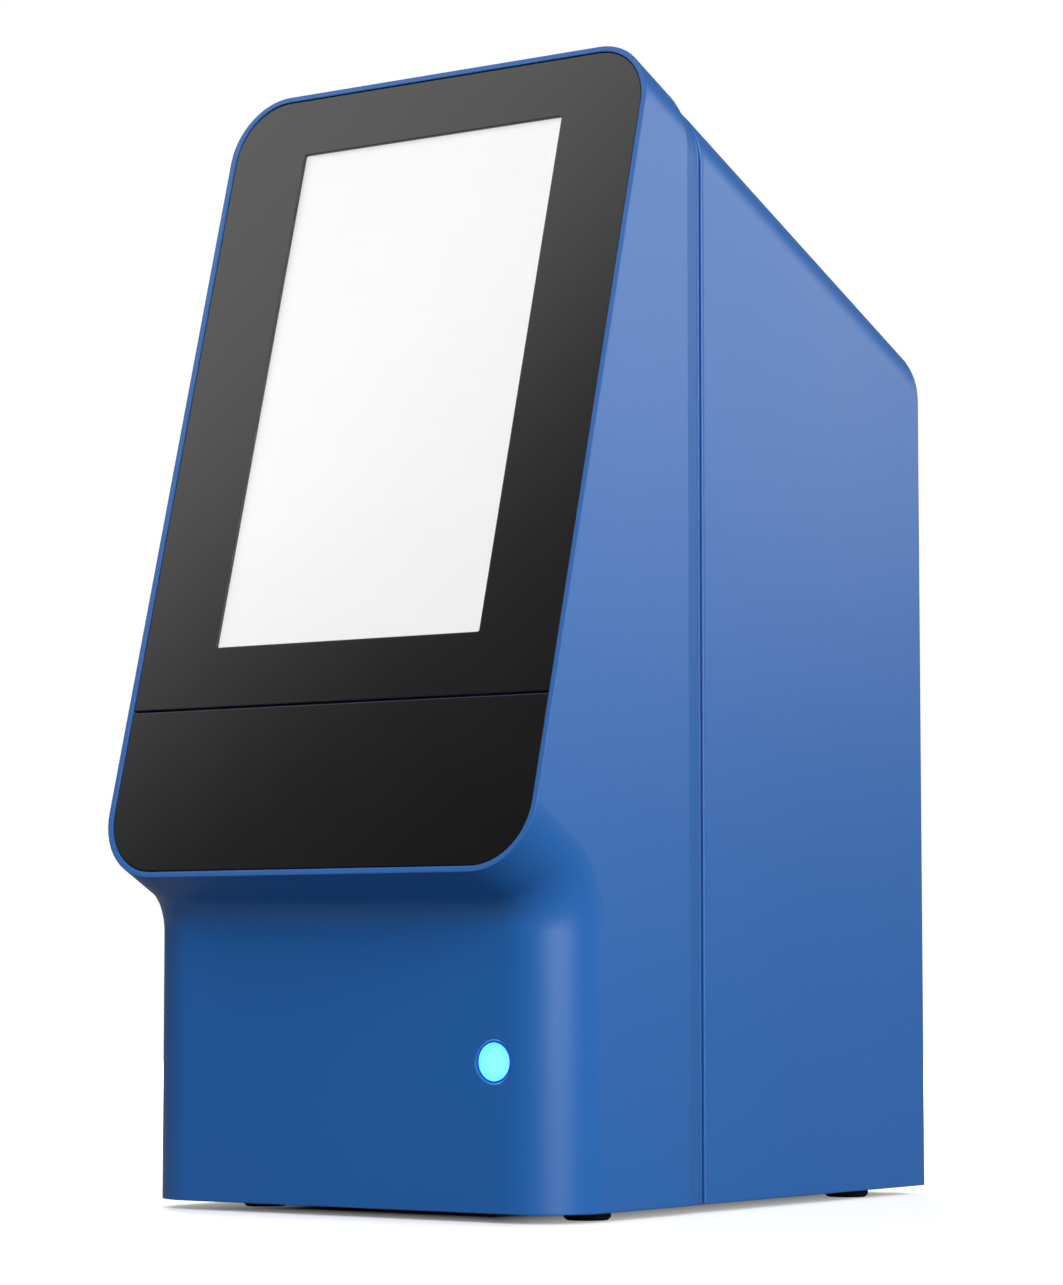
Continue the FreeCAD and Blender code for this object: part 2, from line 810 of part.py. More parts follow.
def make_base_plate():
    loop = rectangle(f"-{BASE_HALF}", BASE_HALF, BASE_FRONT, BASE_REAR)
    plate = extrude("XY_Plane", [loop], "foot_height", FLOOR)
    front = number(BASE_FRONT)
    soften(plate, "corner_round - wall - inside_gap",
           lambda edge, middle: upright(edge) and abs(middle.y - front) < 0.01)
    flange_y = (f"{SHELL_FRONT} + corner_round + 4", f"{BASE_REAR} - 14")
    flange_z = ("foot_height", "foot_height + base_flange")
    walls = [
        block("BaseFlange", (f"{BASE_HALF} - sheet", BASE_HALF), flange_y, flange_z),
        block("BaseFlange", (f"-{BASE_HALF}", f"-({BASE_HALF} - sheet)"), flange_y, flange_z),
    ]
    tools = [
        rod("FootHole", "z", (x, y, "0"), "foot_hole_radius", "20")
        for x in ("foot_right", "foot_left") for y in ("foot_front", "foot_rear")
    ]
    for column in range(-3, 4):
        x = f"{column} * 12"
        tools.append(block("AirSlot", (f"{x} - 2", f"{x} + 2"), ("20", "60"), ("0", "20")))
    for x, y in floor_screw_spots():
        tools.append(turned(countersink("screw_clearance"), x, y, "foot_height"))
    node("base_plate", cut("BasePlate", fused("BaseTray", [plate] + walls), tools))


def floor_screw_spots():
    """The two front screws, then the two rear ones."""
    front = (half_width("wall + boss_in_corner"), f"({SHELL_FRONT} + wall + boss_in_corner - 0.3)")
    rear = (half_width("cover_inset + wall + boss_at_wall"), f"({REAR_INSIDE} - boss_at_wall)")
    return [front, (f"-{front[0]}", front[1]), rear, (f"-{rear[0]}", rear[1])]


def countersink(clearance, length="20"):
    """The half section of a flat-headed screw, or of its hole with a clearance round it."""
    head = f"(screw_radius + screw_head + {clearance})"
    shank = f"(screw_radius + {clearance})"
    return [("0", "0"), (head, "0"), (shank, "screw_head"), (shank, length), ("0", length)]


def make_floor_screws():
    spots = floor_screw_spots()
    screws = [turned(countersink("0", "screw_length"), x, y, "foot_height") for x, y in spots]
    node("floor_screws", fused("FloorScrews", screws))


def make_feet():
    profile = [
        ("0", "0"), ("foot_radius - 0.8", "0"), ("foot_radius", "0.8"),
        ("foot_radius", "foot_height"), ("foot_stem_radius", "foot_height"),
        ("foot_stem_radius", FLOOR), ("foot_hole_radius + 0.9", FLOOR),
        ("foot_stem_radius - 0.8", f"{FLOOR} + 3"), ("0", f"{FLOOR} + 3"),
    ]
    for side, x in (("right", "foot_right"), ("left", "foot_left")):
        for end, y in (("front", "foot_front"), ("rear", "foot_rear")):
            node(f"foot_{end}_{side}", turned(profile, x, y, "0"))


def make_display():
    half = "screen_width / 2 + glass_border"
    low, high = "screen_low - glass_border", "screen_high + glass_border"
    plate = face_plate(
        "rim_width + panel_gap", SPLIT_HIGH, f"{RECESS_HIGH} - panel_gap", "panel_sink",
        PANEL_DEPTH, (f"{RECESS_HIGH} - panel_gap",)
    )
    lens = rounded_window(FACE, "screen_width / 2", "screen_low", "screen_high", "-2", "9", "0.6")
    glass_front = "(panel_sink + screen_lip)"
    pocket = block(
        "GlassPocket", (f"-({half} + glass_clearance)", f"{half} + glass_clearance"),
        (glass_front, "9"), (f"{low} - glass_clearance", f"{high} + glass_clearance"), FACE
    )
    node("display_bezel", cut("DisplayBezel", plate, [lens, pocket]))
    glass_back = f"({glass_front} + glass_wall)"
    glass_loop = rectangle(f"-({half})", half, low, high)
    glass = extrude("XZ_Plane", [glass_loop], glass_front, glass_back, FACE)
    node("touch_panel", glass)
    screen_back = f"({glass_back} + display_wall)"
    module = block(
        "ScreenCan", (f"-({half} - 0.6)", f"{half} - 0.6"), (glass_back, screen_back),
        (f"{low} + 0.6", f"{high} - 0.6"), FACE
    )
    driver = block(
        "ScreenDriver", ("-30", "30"), (PANEL_DEPTH, f"{screen_back} - 1"),
        (f"{low} - 3", f"{low} + 0.6"), FACE
    )
    node("display_module", fused("DisplayModule", [module, driver]))
    bracket_back = f"({screen_back} + bracket_wall)"
    wide = f"({half} + bracket_border + 2)"
    tall = (f"({low} - bracket_border)", f"({high} + bracket_border)")
    sheet_loop = rectangle(f"-{wide}", wide, tall[0], tall[1])
    hole_loop = rectangle("-14", "14", f"{low} + 16", f"{low} + 34")
    upper_loop = rectangle("-14", "14", f"{high} - 34", f"{high} - 14")
    bracket = extrude(
        "XZ_Plane", [sheet_loop, hole_loop, upper_loop], screen_back, bracket_back, FACE
    )
    legs = []
    for x in (f"{wide} - 3", f"-{wide}"):
        for z in (f"{tall[0]} + 6", f"{tall[1]} - 26", f"({tall[0]} + {tall[1]}) / 2 - 10"):
            legs.append(block(
                "Leg", (x, f"{x} + 3"), (FACE_DEPTH, screen_back), (z, f"{z} + 20"), FACE
            ))
    board_x = "display_card_half"
    board_z = (f"({low} + display_card_in)", f"({high} - display_card_in)")
    studs = [
        rod("Stud", "y", (x, bracket_back, z), "standoff_radius", "board_standoff", FACE)
        for x in (f"-({board_x} - 4)", f"{board_x} - 4")
        for z in (f"{board_z[0]} + 4", f"{board_z[1]} - 4")
    ]
    node("display_bracket", fused("DisplayBracket", [bracket] + legs + studs))
    board_front = f"({bracket_back} + board_standoff)"
    board_back = f"({board_front} + board_wall)"
    board = block("DisplayCard", (f"-{board_x}", board_x), (board_front, board_back), board_z, FACE)
    card_middle = f"(({board_z[0]} + {board_z[1]}) / 2)"

    def on_card(name, x, tall, low, high):
        up = (f"{card_middle} + {low}", f"{card_middle} + {high}")
        return block(name, x, (board_back, f"{board_back} + {tall}"), up, FACE)

    chips = [
        on_card("Chip", ("-9", "9"), "2", "(-9)", "9"),
        on_card("Chip", ("14", "26"), "1.4", "(-14)", "(-6)"),
        on_card("Plug", ("-24", "-4"), "5", "16", "22"),
    ]
    node("display_board", fused("DisplayBoard", [board] + chips))


def make_frames():
    low = FLOOR
    outline = [
        ("frame_front", low), (FRAME_REAR, low), (FRAME_REAR, "frame_top"),
        ("frame_front + 40", "frame_top"), ("frame_front", "frame_top - 10"),
    ]
    windows = [
        rectangle(start, f"{start} + frame_window", "36", "64")
        for start in ("frame_front + 12", "frame_front + 58", "frame_front + 104")
    ]
    inner, outer = "frame_half", "frame_half + frame_sheet"
    for side, hand in (("right", 1), ("left", -1)):
        x = (inner, outer) if hand == 1 else (f"-({outer})", f"-({inner})")
        lip = (f"{inner} - frame_flange", inner) if hand == 1 else (
            f"-({inner})", f"-({inner} - frame_flange)")
        panel = extrude("YZ_Plane", [outline] + windows, x[0], x[1])
        foot_y = ("frame_front + 22", f"{FRAME_REAR} - 24")
        back_y = (f"{FRAME_REAR} - frame_sheet", FRAME_REAR)
        crest_y = ("frame_front + 44", FRAME_REAR)
        foot = block("FrameFoot", lip, foot_y, (low, f"{low} + frame_sheet"))
        back = block("FrameBack", lip, back_y, (f"{low} + 30", "frame_top"))
        crest = block("FrameCrest", lip, crest_y, ("frame_top - frame_sheet", "frame_top"))
        node(f"side_frame_{side}", fused("SideFrame", [panel, foot, back, crest]))
    deck_loop = rectangle("-frame_half", "frame_half", "deck_front", "deck_rear")
    cable_hole = rectangle("-14", "14", "deck_rear - 30", "deck_rear - 12")
    deck = extrude("XY_Plane", [deck_loop, cable_hole], "deck_height", DECK_TOP)
    node("chassis_deck", deck)


FRAME_REAR = "(body_depth / 2 - 16)"
DECK_TOP = "(deck_height + sheet)"
BOARD_TOP = "(board_height + board_wall)"


def make_guides():
    slot = ("(runner_low - guide_gap)", "(runner_high + guide_gap)")
    inner = "(tray_half + guide_gap + 3)"
    web = "(guide_half - guide_wall)"
    profile = [
        (f"{inner} - 1", DECK_TOP), ("guide_half", DECK_TOP), ("guide_half", f"{slot[1]} + guide_lip"),
        (inner, f"{slot[1]} + guide_lip"), (inner, slot[1]), (web, slot[1]),
        (web, slot[0]), (inner, slot[0]), (inner, f"{slot[0]} - guide_lip"),
        (web, f"{slot[0]} - guide_lip"), (web, f"{DECK_TOP} + guide_lip"),
        (f"{inner} - 1", f"{DECK_TOP} + guide_lip"),
    ]
    for side, hand in (("right", ""), ("left", "-")):
        loop = [(f"{hand}({x})", z) for x, z in profile]
        node(f"drawer_guide_{side}", extrude("XZ_Plane", [loop], "deck_front + 1", "guide_rear"))


def rack_body():
    """A bar with straight-sided teeth that point down, one tooth drawn and the rest patterned."""
    pitch = "(pi * tooth_module)"
    lean = "(tooth_module * tan(pressure_angle))"
    tip = "(rack_pitch_height - tooth_module)"
    root = "(rack_pitch_height + 1.25 * tooth_module)"
    width = f"({pitch} / 2 - backlash / 2)"
    centre = f"(pinion_depth - {pitch} / 2)"
    side = ("rack_left", "rack_left + rack_width")
    bar = rectangle("rack_front", "tray_rear", root, "tray_low + 0.5")
    body = extrude("YZ_Plane", [bar], side[0], side[1])
    sketch = body.newObject("Sketcher::SketchObject", "ToothSketch")
    sketch.AttachmentSupport = [(origin_plane(body, "YZ_Plane"), "")]
    sketch.MapMode = "FlatFace"
    bind(sketch, "AttachmentOffset.Base.z", side[0])
    reach = f"({width} / 2 + 1.25 * {lean})"
    narrow = f"({width} / 2 - {lean})"
    draw(sketch, [[
        (f"{centre} - {reach}", root), (f"{centre} - {narrow}", tip),
        (f"{centre} + {narrow}", tip), (f"{centre} + {reach}", root),
    ]])
    tooth = body.newObject("PartDesign::Pad", "Tooth")
    tooth.Profile = sketch
    bind(tooth, "Length", "rack_width")
    doc.recompute()
    row = body.newObject("PartDesign::LinearPattern", "ToothRow")
    row.Originals = [tooth]
    row.Direction = (sketch, ["H_Axis"])
    count = int((number("tray_rear") - number(centre) - number(reach)) / number(pitch)) + 1
    row.Occurrences = count
    bind(row, "Length", f"{count - 1} * {pitch}")
    body.Tip = row
    return body


def make_drawer():
    panel = face_plate(
        "rim_width + panel_gap", f"{RECESS_LOW} + panel_gap", SPLIT_LOW, "panel_sink",
        PANEL_DEPTH, (f"{RECESS_LOW} + panel_gap",)
    )
    node("drawer_front", panel)
    floor = "(tray_high - disc_depth)"
    plan = rectangle("-tray_half", "tray_half", "-body_depth / 2", "tray_rear")
    rear_hole = rectangle("-32", "32", "disc_centre + disc_radius + 5", "tray_rear - 7")
    slab = extrude("XY_Plane", [plan, rear_hole], "tray_low", "tray_high")
    runner_y = ("deck_front + 2", "tray_rear")
    runners = [
        block("Runner", ("tray_half - 1", "runner_half"), runner_y, ("runner_low", "runner_high")),
        block("Runner", ("-runner_half", "-(tray_half - 1)"), runner_y, ("runner_low", "runner_high")),
    ]
    rack = rack_body()
    riser_high = f"({SPLIT_LOW} - 6)"
    riser = shared(
        "Riser",
        block("RiserBlock", ("-tray_half", "tray_half"), ("-body_depth", "0"), ("tray_low", riser_high)),
        face_slab(PANEL_DEPTH, f"{PANEL_DEPTH} + 2"),
    )
    body = fused("TrayBody", [slab, rack, riser] + runners)
    tools = [
        face_slab("-40", PANEL_DEPTH),
        rod("DiscSeat", "z", ("0", "disc_centre", floor), "disc_radius", "40"),
        rod("HubHole", "z", ("0", "disc_centre", "tray_low - 5"), "hub_hole_radius", "30"),
        block("ThumbRoom", ("-tray_half - 1", "tray_half + 1"), ("disc_centre - 11", "disc_centre + 11"),
              ("tray_high - 4", "tray_high + 1")),
    ]
    node("disc_tray", cut("DiscTray", body, tools))
    low = "(tray_low - spindle_height)"
    motor = [
        ("0", low), ("spindle_radius - 2", low), ("spindle_radius", f"{low} + 2"),
        ("spindle_radius", "tray_low"), ("hub_hole_radius - 0.4", "tray_low"),
        ("hub_hole_radius - 0.4", "tray_low + 1.5"), ("shaft_radius", "tray_low + 1.5"),
        ("shaft_radius", f"{floor} + hub_height - 3"), ("0", f"{floor} + hub_height - 3"),
    ]
    node("spindle_motor", turned(motor, "0", "disc_centre", "0"))
    bore = "shaft_radius + shaft_clearance"
    hub = [
        (bore, f"{floor} + 0.4"), ("hub_radius", f"{floor} + 0.4"), ("hub_radius", f"{floor} + 4"),
        ("hub_radius - 1.4", f"{floor} + hub_height"), ("0", f"{floor} + hub_height"),
        ("0", f"{floor} + hub_height - 2.6"), (bore, f"{floor} + hub_height - 2.6"),
    ]
    node("spindle_hub", turned(hub, "0", "disc_centre", "0"))


def involute(base, angle):
    """A point of the involute of a base circle, at one unrolling angle."""
    x = base * (math.cos(angle) + angle * math.sin(angle))
    y = base * (math.sin(angle) - angle * math.cos(angle))
    return x, y


def gear_wire(module, teeth, pressure, slack, turn):
    """The outline of a spur gear in the YZ plane, one tooth centred at an angle from +Y."""
    pitch_radius = module * teeth / 2
    base = pitch_radius * math.cos(pressure)
    tip = pitch_radius + module
    root = pitch_radius - 1.25 * module
    flare = math.tan(pressure) - pressure
    half_tooth = (math.pi * module / 2 - slack / 2) / (2 * pitch_radius) + flare
    top_roll = math.sqrt((tip / base) ** 2 - 1)
    edges = []
    previous = None
    first = None
    for tooth in range(teeth):
        middle = turn + 2 * math.pi * tooth / teeth
        flanks = []
        for hand in (-1, 1):
            points = []
            for step in range(4):
                x, y = involute(base, top_roll * step / 3)
                swing = middle + hand * (half_tooth - math.atan2(y, x))
                reach = math.hypot(x, y)
                points.append(Vector(0, reach * math.cos(swing), reach * math.sin(swing)))
            start = middle + hand * half_tooth
            foot = Vector(0, root * math.cos(start), root * math.sin(start))
            flanks.append((foot, points))
        lower, upper = flanks
        if previous is not None:
            edges.append(Part.makeLine(previous, lower[0]))
        else:
            first = lower[0]
        edges.append(Part.makeLine(lower[0], lower[1][0]))
        curve = Part.BSplineCurve()
        curve.interpolate(lower[1])
        edges.append(curve.toShape())
        edges.append(Part.makeLine(lower[1][-1], upper[1][-1]))
        curve = Part.BSplineCurve()
        curve.interpolate(upper[1][::-1])
        edges.append(curve.toShape())
        edges.append(Part.makeLine(upper[1][0], upper[0]))
        previous = upper[0]
    edges.append(Part.makeLine(previous, first))
    return Part.Wire(edges)


def make_pinion():
    module = number("tooth_module")
    teeth = int(number("pinion_teeth"))
    pressure = math.radians(number("pressure_angle"))
    wire = gear_wire(module, teeth, pressure, number("backlash"), math.pi / 2)
    gear = doc.addObject("Part::Feature", "PinionTeeth")
    gear.Shape = Part.Face(wire).extrude(Vector(number("pinion_width"), 0, 0))
    left = "(pinion_across - pinion_width / 2)"
    height = PINION_HEIGHT
    gear.Placement = FreeCAD.Placement(
        Vector(number(left), number("pinion_depth"), number(height)), FreeCAD.Rotation()
    )
    bore = rod(
        "PinionBore", "x", (f"{left} - 2", "pinion_depth", height),
        "pinion_shaft_radius + shaft_clearance", "pinion_width + 6"
    )
    hub = rod("PinionHub", "x", (f"{left} + pinion_width", "pinion_depth", height), "3", "1.6")
    node("drawer_pinion", cut("DrawerPinion", fused("PinionBody", [gear, hub]), [bore]))
    face = f"({left} - 1)"
    can_start = (f"{face} - motor_length", "pinion_depth", height)
    can = rod("MotorCan", "x", can_start, "motor_radius", "motor_length")
    shaft_start = (f"{face} - 1", "pinion_depth", height)
    shaft = rod("MotorShaft", "x", shaft_start, "pinion_shaft_radius", "pinion_width + 3")

    def mount(name, deep, half, top):
        depth = (f"pinion_depth - {half}", f"pinion_depth + {half}")
        return block(name, (f"{face} - {deep}", face), depth, (DECK_TOP, top))

    plate = mount("MotorPlate", "2", "10", f"{height} + motor_radius + 0.4")
    foot = mount("MotorFoot", "12", "14", f"{DECK_TOP} + 1.5")
    saddle = mount("MotorSaddle", "12", "5", height)
    node("drawer_motor", fused("DrawerMotor", [can, shaft, plate, foot, saddle]))


PINION_HEIGHT = "(rack_pitch_height - tooth_module * pinion_teeth / 2)"


def make_button():
    face = f"({SHELL_FRONT} + button_sink)"
    flange = f"({SEAT_Y} + button_seat)"
    ring_end = f"({flange} + ring_flange_wall)"
    shoulder = f"({ring_end} - {face} + 0.2)"
    collar = f"({shoulder} + 1.2)"
    stem = f"({collar} + button_length)"
    cap = [
        ("0", "0"), ("button_radius - 0.4", "0"), ("button_radius", "0.4"),
        ("button_radius", shoulder), ("button_radius + 1.4", shoulder),
        ("button_radius + 1.4", collar), ("button_stem_radius", collar),
        ("button_stem_radius", stem), ("0", stem),
    ]
    node("power_button", turned(cap, "button_across", face, "button_height", ALONG_Y))
    bore = "button_radius + button_clearance"
    ring = [
        (bore, "0.3"), ("button_ring_radius - 0.2", "0.3"), ("button_ring_radius", "0.5"),
        ("button_ring_radius", "wall + button_seat"), ("ring_flange_radius", "wall + button_seat"),
        ("ring_flange_radius", f"{ring_end} - {SHELL_FRONT}"), (bore, f"{ring_end} - {SHELL_FRONT}"),
    ]
    tube = turned(ring, "button_across", SHELL_FRONT, "button_height", ALONG_Y)
    board = f"({flange} + button_board_depth)"
    legs = []
    for side in ("-1", "1"):
        across = f"(button_across + ({side}) * (ring_flange_radius - 1))"
        legs.append(block(
            "RingLeg", (f"{across} - 1", f"{across} + 1"), (f"{ring_end} - 0.5", board),
            ("button_height - 3", "button_height + 3")
        ))
    node("button_guide", fused("ButtonGuide", [tube] + legs))
    card = block(
        "ButtonCard", ("button_across - 10", "button_across + 10"), (board, f"{board} + board_wall"),
        ("button_height - 10", "button_height + 10")
    )
    switch_y = (f"{face} + {stem} + button_travel + 0.2", board)
    switch = block(
        "Switch", ("button_across - 3", "button_across + 3"), switch_y,
        ("button_height - 3", "button_height + 3")
    )
    lamps = [
        block("Lamp", (f"button_across + {x}", f"button_across + {x} + 2"), (f"{board} - 1", board),
              (f"button_height + {z}", f"button_height + {z} + 1.5"))
        for x in ("(-6)", "4") for z in ("(-6)", "4.5")
    ]
    node("button_board", fused("ButtonBoard", [card, switch] + lamps))


def make_optics():
    lamp = ("-lamp_across", "disc_centre + 8")
    detector = ("detector_across", "disc_centre + 8")
    lens_hole = "lens_radius + lens_clearance"
    heater_loop = rectangle("-heater_half", "heater_half", "heater_front", "heater_rear")
    bores = [("circle", lamp, lens_hole), ("circle", detector, lens_hole)]
    heater_top = "(heater_low + heater_wall)"
    node("heater_plate", extrude("XY_Plane", [heater_loop] + bores, "heater_low", heater_top))
    posts = [
        rod("Post", "z", (x, y, heater_top), "post_radius", f"optics_deck - {heater_top}")
        for x in ("-(heater_half - 8)", "heater_half - 8")
        for y in ("frame_front + 4", "heater_rear - 8")
    ]
    node("heater_posts", fused("HeaterPosts", posts))
    deck_loop = rectangle("-frame_half", "frame_half", "frame_front - 6", "optics_rear")
    top = "(optics_deck + sheet)"
    deck = extrude("XY_Plane", [deck_loop] + bores, "optics_deck", top)
    lip_y = ("optics_rear - sheet", "optics_rear")
    lip = block("DeckLip", ("-frame_half", "frame_half"), lip_y, (top, f"{top} + optics_lip"))
    node("optics_deck_plate", fused("OpticsDeck", [deck, lip]))
    barrel_low = "(heater_low - 2)"
    for name, spot, wide, tall in (
        ("lamp_module", lamp, "lamp_half", "lamp_tall"),
        ("detector_module", detector, "detector_half", "detector_tall"),
    ):
        x, y = spot
        case_top = f"({top} + {tall})"
        across = (f"{x} - {wide}", f"{x} + {wide}")
        case = block("Case", across, (f"{y} - case_front", f"{y} + case_rear"), (top, case_top))
        barrel = rod("Barrel", "z", (x, y, barrel_low), "lens_radius", f"{top} - {barrel_low} + 1")
        fins = []
        for row in range(6):
            fin = f"({y} - case_front + 2 + {row} * optics_fin_step)"
            fin_x = (f"{across[0]} + 2", f"{across[1]} - 2")
            fins.append(block("Fin", fin_x, (fin, f"{fin} + optics_fin"), (case_top, f"{case_top} + 5")))
        lens = rod("LensBore", "z", (x, y, f"{barrel_low} - 1"), "lens_radius - 1.2", "4")
        node(name, cut("Optics", fused("OpticsBody", [case, barrel] + fins), [lens]))


def make_boards():
    rear = f"({REAR_INSIDE} - inside_gap)"
    card_y = ("board_front", rear)
    card = block("MainCard", ("-board_half", "board_half"), card_y, ("board_height", BOARD_TOP))

    def on_board(name, left, wide, front, deep, tall):
        """A block on the board, placed from the board's left front corner."""
        x = (f"-board_half + {left}", f"-board_half + {left} + {wide}")
        y = (f"board_front + {front}", f"board_front + {front} + {deep}")
        return block(name, x, y, (BOARD_TOP, f"{BOARD_TOP} + {tall}"))

    fins = []
    for index in range(7):
        fins.append(on_board("SinkFin", f"12 + {index} * sink_step", "sink_fin", "35", "sink_length", "12"))
    parts = [
        on_board("SinkBase", "12", "6 * sink_step + sink_fin", "35", "sink_length", "3"),
        on_board("Memory", "52", "memory_length", "39", "memory_wall", "memory_tall"),
        on_board("Memory", "52", "memory_length", "49", "memory_wall", "memory_tall"),
        on_board("Chip", "58", "chip_width", "15", "chip_width", "2"),
        on_board("Plug", "8", "24", "7", "6", "8"),
    ]
    node("main_board", fused("MainBoard", [card] + fins + parts))
    studs = [
        rod("Stud", "z", (x, y, FLOOR), "standoff_radius", f"board_height - {FLOOR}")
        for x in ("-(board_half - 8)", "board_half - 8")
        for y in ("board_front + 5", "board_front + board_length / 2 - 4", f"{rear} - 18")
    ]
    node("board_standoffs", fused("BoardStandoffs", studs))
    wall_x = "(-frame_half)"
    card_x = (f"({wall_x} + power_stand)", f"({wall_x} + power_stand + board_wall)")
    power = block("PowerCard", card_x, ("-power_half", "power_half"), ("power_low", "power_high"))
    spacers = [
        rod("Spacer", "x", (wall_x, y, z), "standoff_radius", "power_stand")
        for y in ("-(power_half - 5)", "0.5", "power_half - 5")
        for z in ("power_high - 4", "power_low + 4")
    ]
    inner = card_x[1]
    bulk_z = ("power_low + 10", "power_high - 8")
    bulk = [
        block("Transformer", (inner, f"{inner} + coil_tall"), ("-32", "-32 + coil_long"), bulk_z),
        rod("Capacitor", "x", (inner, "22", "power_low + 16"), "can_radius", "can_tall"),
        rod("Capacitor", "x", (inner, "22", "power_high - 14"), "can_radius", "can_tall"),
        block("Sink", (inner, f"{inner} + 18"), ("36", "39"), bulk_z),
    ]
    node("power_board", fused("PowerBoard", [power] + bulk))
    node("power_spacers", fused("PowerSpacers", spacers))


def make_ports():
    rear = "(body_depth / 2 - port_sink)"
    for name in ("inlet", "network", "usb"):
        half = f"({name}_width / 2)"
        case = block(
            "PortCase", (f"{name}_across - {half}", f"{name}_across + {half}"),
            (f"{rear} - {name}_depth", rear), (BOARD_TOP, f"{BOARD_TOP} + {name}_height")
        )
        middle = f"({BOARD_TOP} + {name}_height / 2)"
        if name == "inlet":
            hole_start = ("inlet_across", f"{rear} - 9", middle)
            pin_start = ("inlet_across", f"{rear} - 10", middle)
            hole = rod("InletBore", "y", hole_start, "inlet_hole_radius", "12")
            pin = rod("InletPin", "y", pin_start, "inlet_pin_radius", "8")
            node("dc_inlet", fused("DcInlet", [cut("InletCase", case, [hole]), pin]))
        elif name == "network":
            deep = (f"{rear} - 15", f"{rear} + 1")
            hole = block(
                "JackHole", ("network_across - 6", "network_across + 6"), deep,
                (f"{BOARD_TOP} + 3.5", f"{BOARD_TOP} + 10.5")
            )
            latch = block(
                "LatchSlot", ("network_across - 3", "network_across + 3"), deep,
                (f"{BOARD_TOP} + 1.2", f"{BOARD_TOP} + 4")
            )
            node("ethernet_socket", cut("EthernetSocket", case, [hole, latch]))
        else:
            slots, tongues = [], []
            for level in (f"{BOARD_TOP} + 1.5", f"{BOARD_TOP} + 9"):
                slot_y = (f"{rear} - 12", f"{rear} + 1")
                slot_x = ("usb_across - 6.2", "usb_across + 6.2")
                slots.append(block("UsbSlot", slot_x, slot_y, (level, f"{level} + 5.1")))
                tongue_y = (f"{rear} - 13", f"{rear} - 1")
                tongue_x = ("usb_across - 5.2", "usb_across + 5.2")
                tongue_z = (f"{level} + 2.9", f"{level} + 4.7")
                tongues.append(block("UsbTongue", tongue_x, tongue_y, tongue_z))
            node("usb_sockets", fused("UsbSockets", [cut("UsbCase", case, slots)] + tongues))


def make_speaker():
    basket, magnet = "speaker_radius", "(speaker_radius * 0.57)"
    profile = [
        ("0", "0"), (basket, "0"), (basket, "2"), (f"{basket} - 1.5", "2.6"),
        (magnet, "speaker_tall - 3.4"), (magnet, "speaker_tall"), ("0", "speaker_tall"),
    ]
    node("speaker", turned(profile, "-16", "speaker_set_back - body_depth / 2", FLOOR))


def fan_corners():
    across = "fan_hole_half"
    return [(x, z) for x in (across, f"-{across}") for z in (across, f"-{across}")]


def fan_screw(x, z, clearance, length):
    """A flat-headed screw that goes in from the back, or the hole it leaves."""
    profile = countersink(clearance, length)
    turn = FreeCAD.Rotation(Vector(1, 0, 0), 90)
    return turned(profile, x, "body_depth / 2", f"fan_height + {z}", turn)


def make_fan():
    front = f"({REAR_INSIDE} - fan_depth)"
    half = "fan_size / 2"
    square = rectangle(f"-({half})", half, f"fan_height - {half}", f"fan_height + {half}")
    bore = ("circle", ("0", "fan_height"), "fan_bore")
    holes = [
        ("circle", (x, f"fan_height + {z}"), "screw_radius + screw_clearance")
        for x, z in fan_corners()
    ]
    case = extrude("XZ_Plane", [square, bore] + holes, front, REAR_INSIDE)
    screws = [fan_screw(x, z, "0", "wall + fan_depth") for x, z in fan_corners()]
    node("fan_screws", fused("FanScrews", screws))
    hub_start = ("0", front, "fan_height")
    carrier = rod("FanCarrier", "y", hub_start, "fan_hub_radius", "fan_spoke")
    pin = rod("FanPin", "y", hub_start, "shaft_radius", "fan_depth - 4")
    spoke_y = (front, f"{front} + fan_spoke")
    reach = "(fan_bore + 0.5)"
    spokes = [
        block("Spoke", ("-1.5", "1.5"), spoke_y, (f"fan_height - {reach}", f"fan_height + {reach}")),
        block("Spoke", (f"-{reach}", reach), spoke_y, ("fan_height - 1.5", "fan_height + 1.5")),
    ]
    node("fan_frame", fused("FanFrame", [case, carrier, pin] + spokes))
    start = f"({front} + fan_spoke + 0.6)"
    wheel_depth = "(fan_depth - fan_spoke - 2.6)"
    hub = rod("FanHub", "y", ("0", start, "fan_height"), "fan_hub_radius", wheel_depth)
    tip = "(fan_bore - fan_blade_gap)"
    blades = [fan_blade(index, f"{start} + {wheel_depth} / 2", tip) for index in range(FAN_BLADES)]
    sweep = rod("FanSweep", "y", ("0", start, "fan_height"), tip, wheel_depth)
    wheel = shared("FanWheel", fused("FanBlades", [hub] + blades), sweep)
    bore_start = ("0", f"{start} - 1", "fan_height")
    shaft = rod("FanBore", "y", bore_start, "shaft_radius + shaft_clearance", "fan_depth - 5")
    node("fan_rotor", cut("FanRotor", wheel, [shaft]))


def fan_blade(index, middle, tip):
    """One flat blade, turned to its pitch and then round the hub."""
    root = "(fan_hub_radius - 1.5)"
    blade = doc.addObject("Part::Box", "Blade")
    bind(blade, "Length", "fan_blade_wall")
    bind(blade, "Width", "fan_blade_chord")
    bind(blade, "Height", f"{tip} - {root}")
    corner = Vector(-number("fan_blade_wall") / 2, -number("fan_blade_chord") / 2, number(root))
    pitch = FreeCAD.Rotation(Vector(0, 0, 1), number("fan_blade_pitch"))
    turn = FreeCAD.Rotation(Vector(0, 1, 0), 360.0 * index / FAN_BLADES)
    hub_middle = Vector(0, number(middle), number("fan_height"))
    blade.Placement = FreeCAD.Placement(hub_middle + (turn * pitch).multVec(corner), turn * pitch)
    return blade


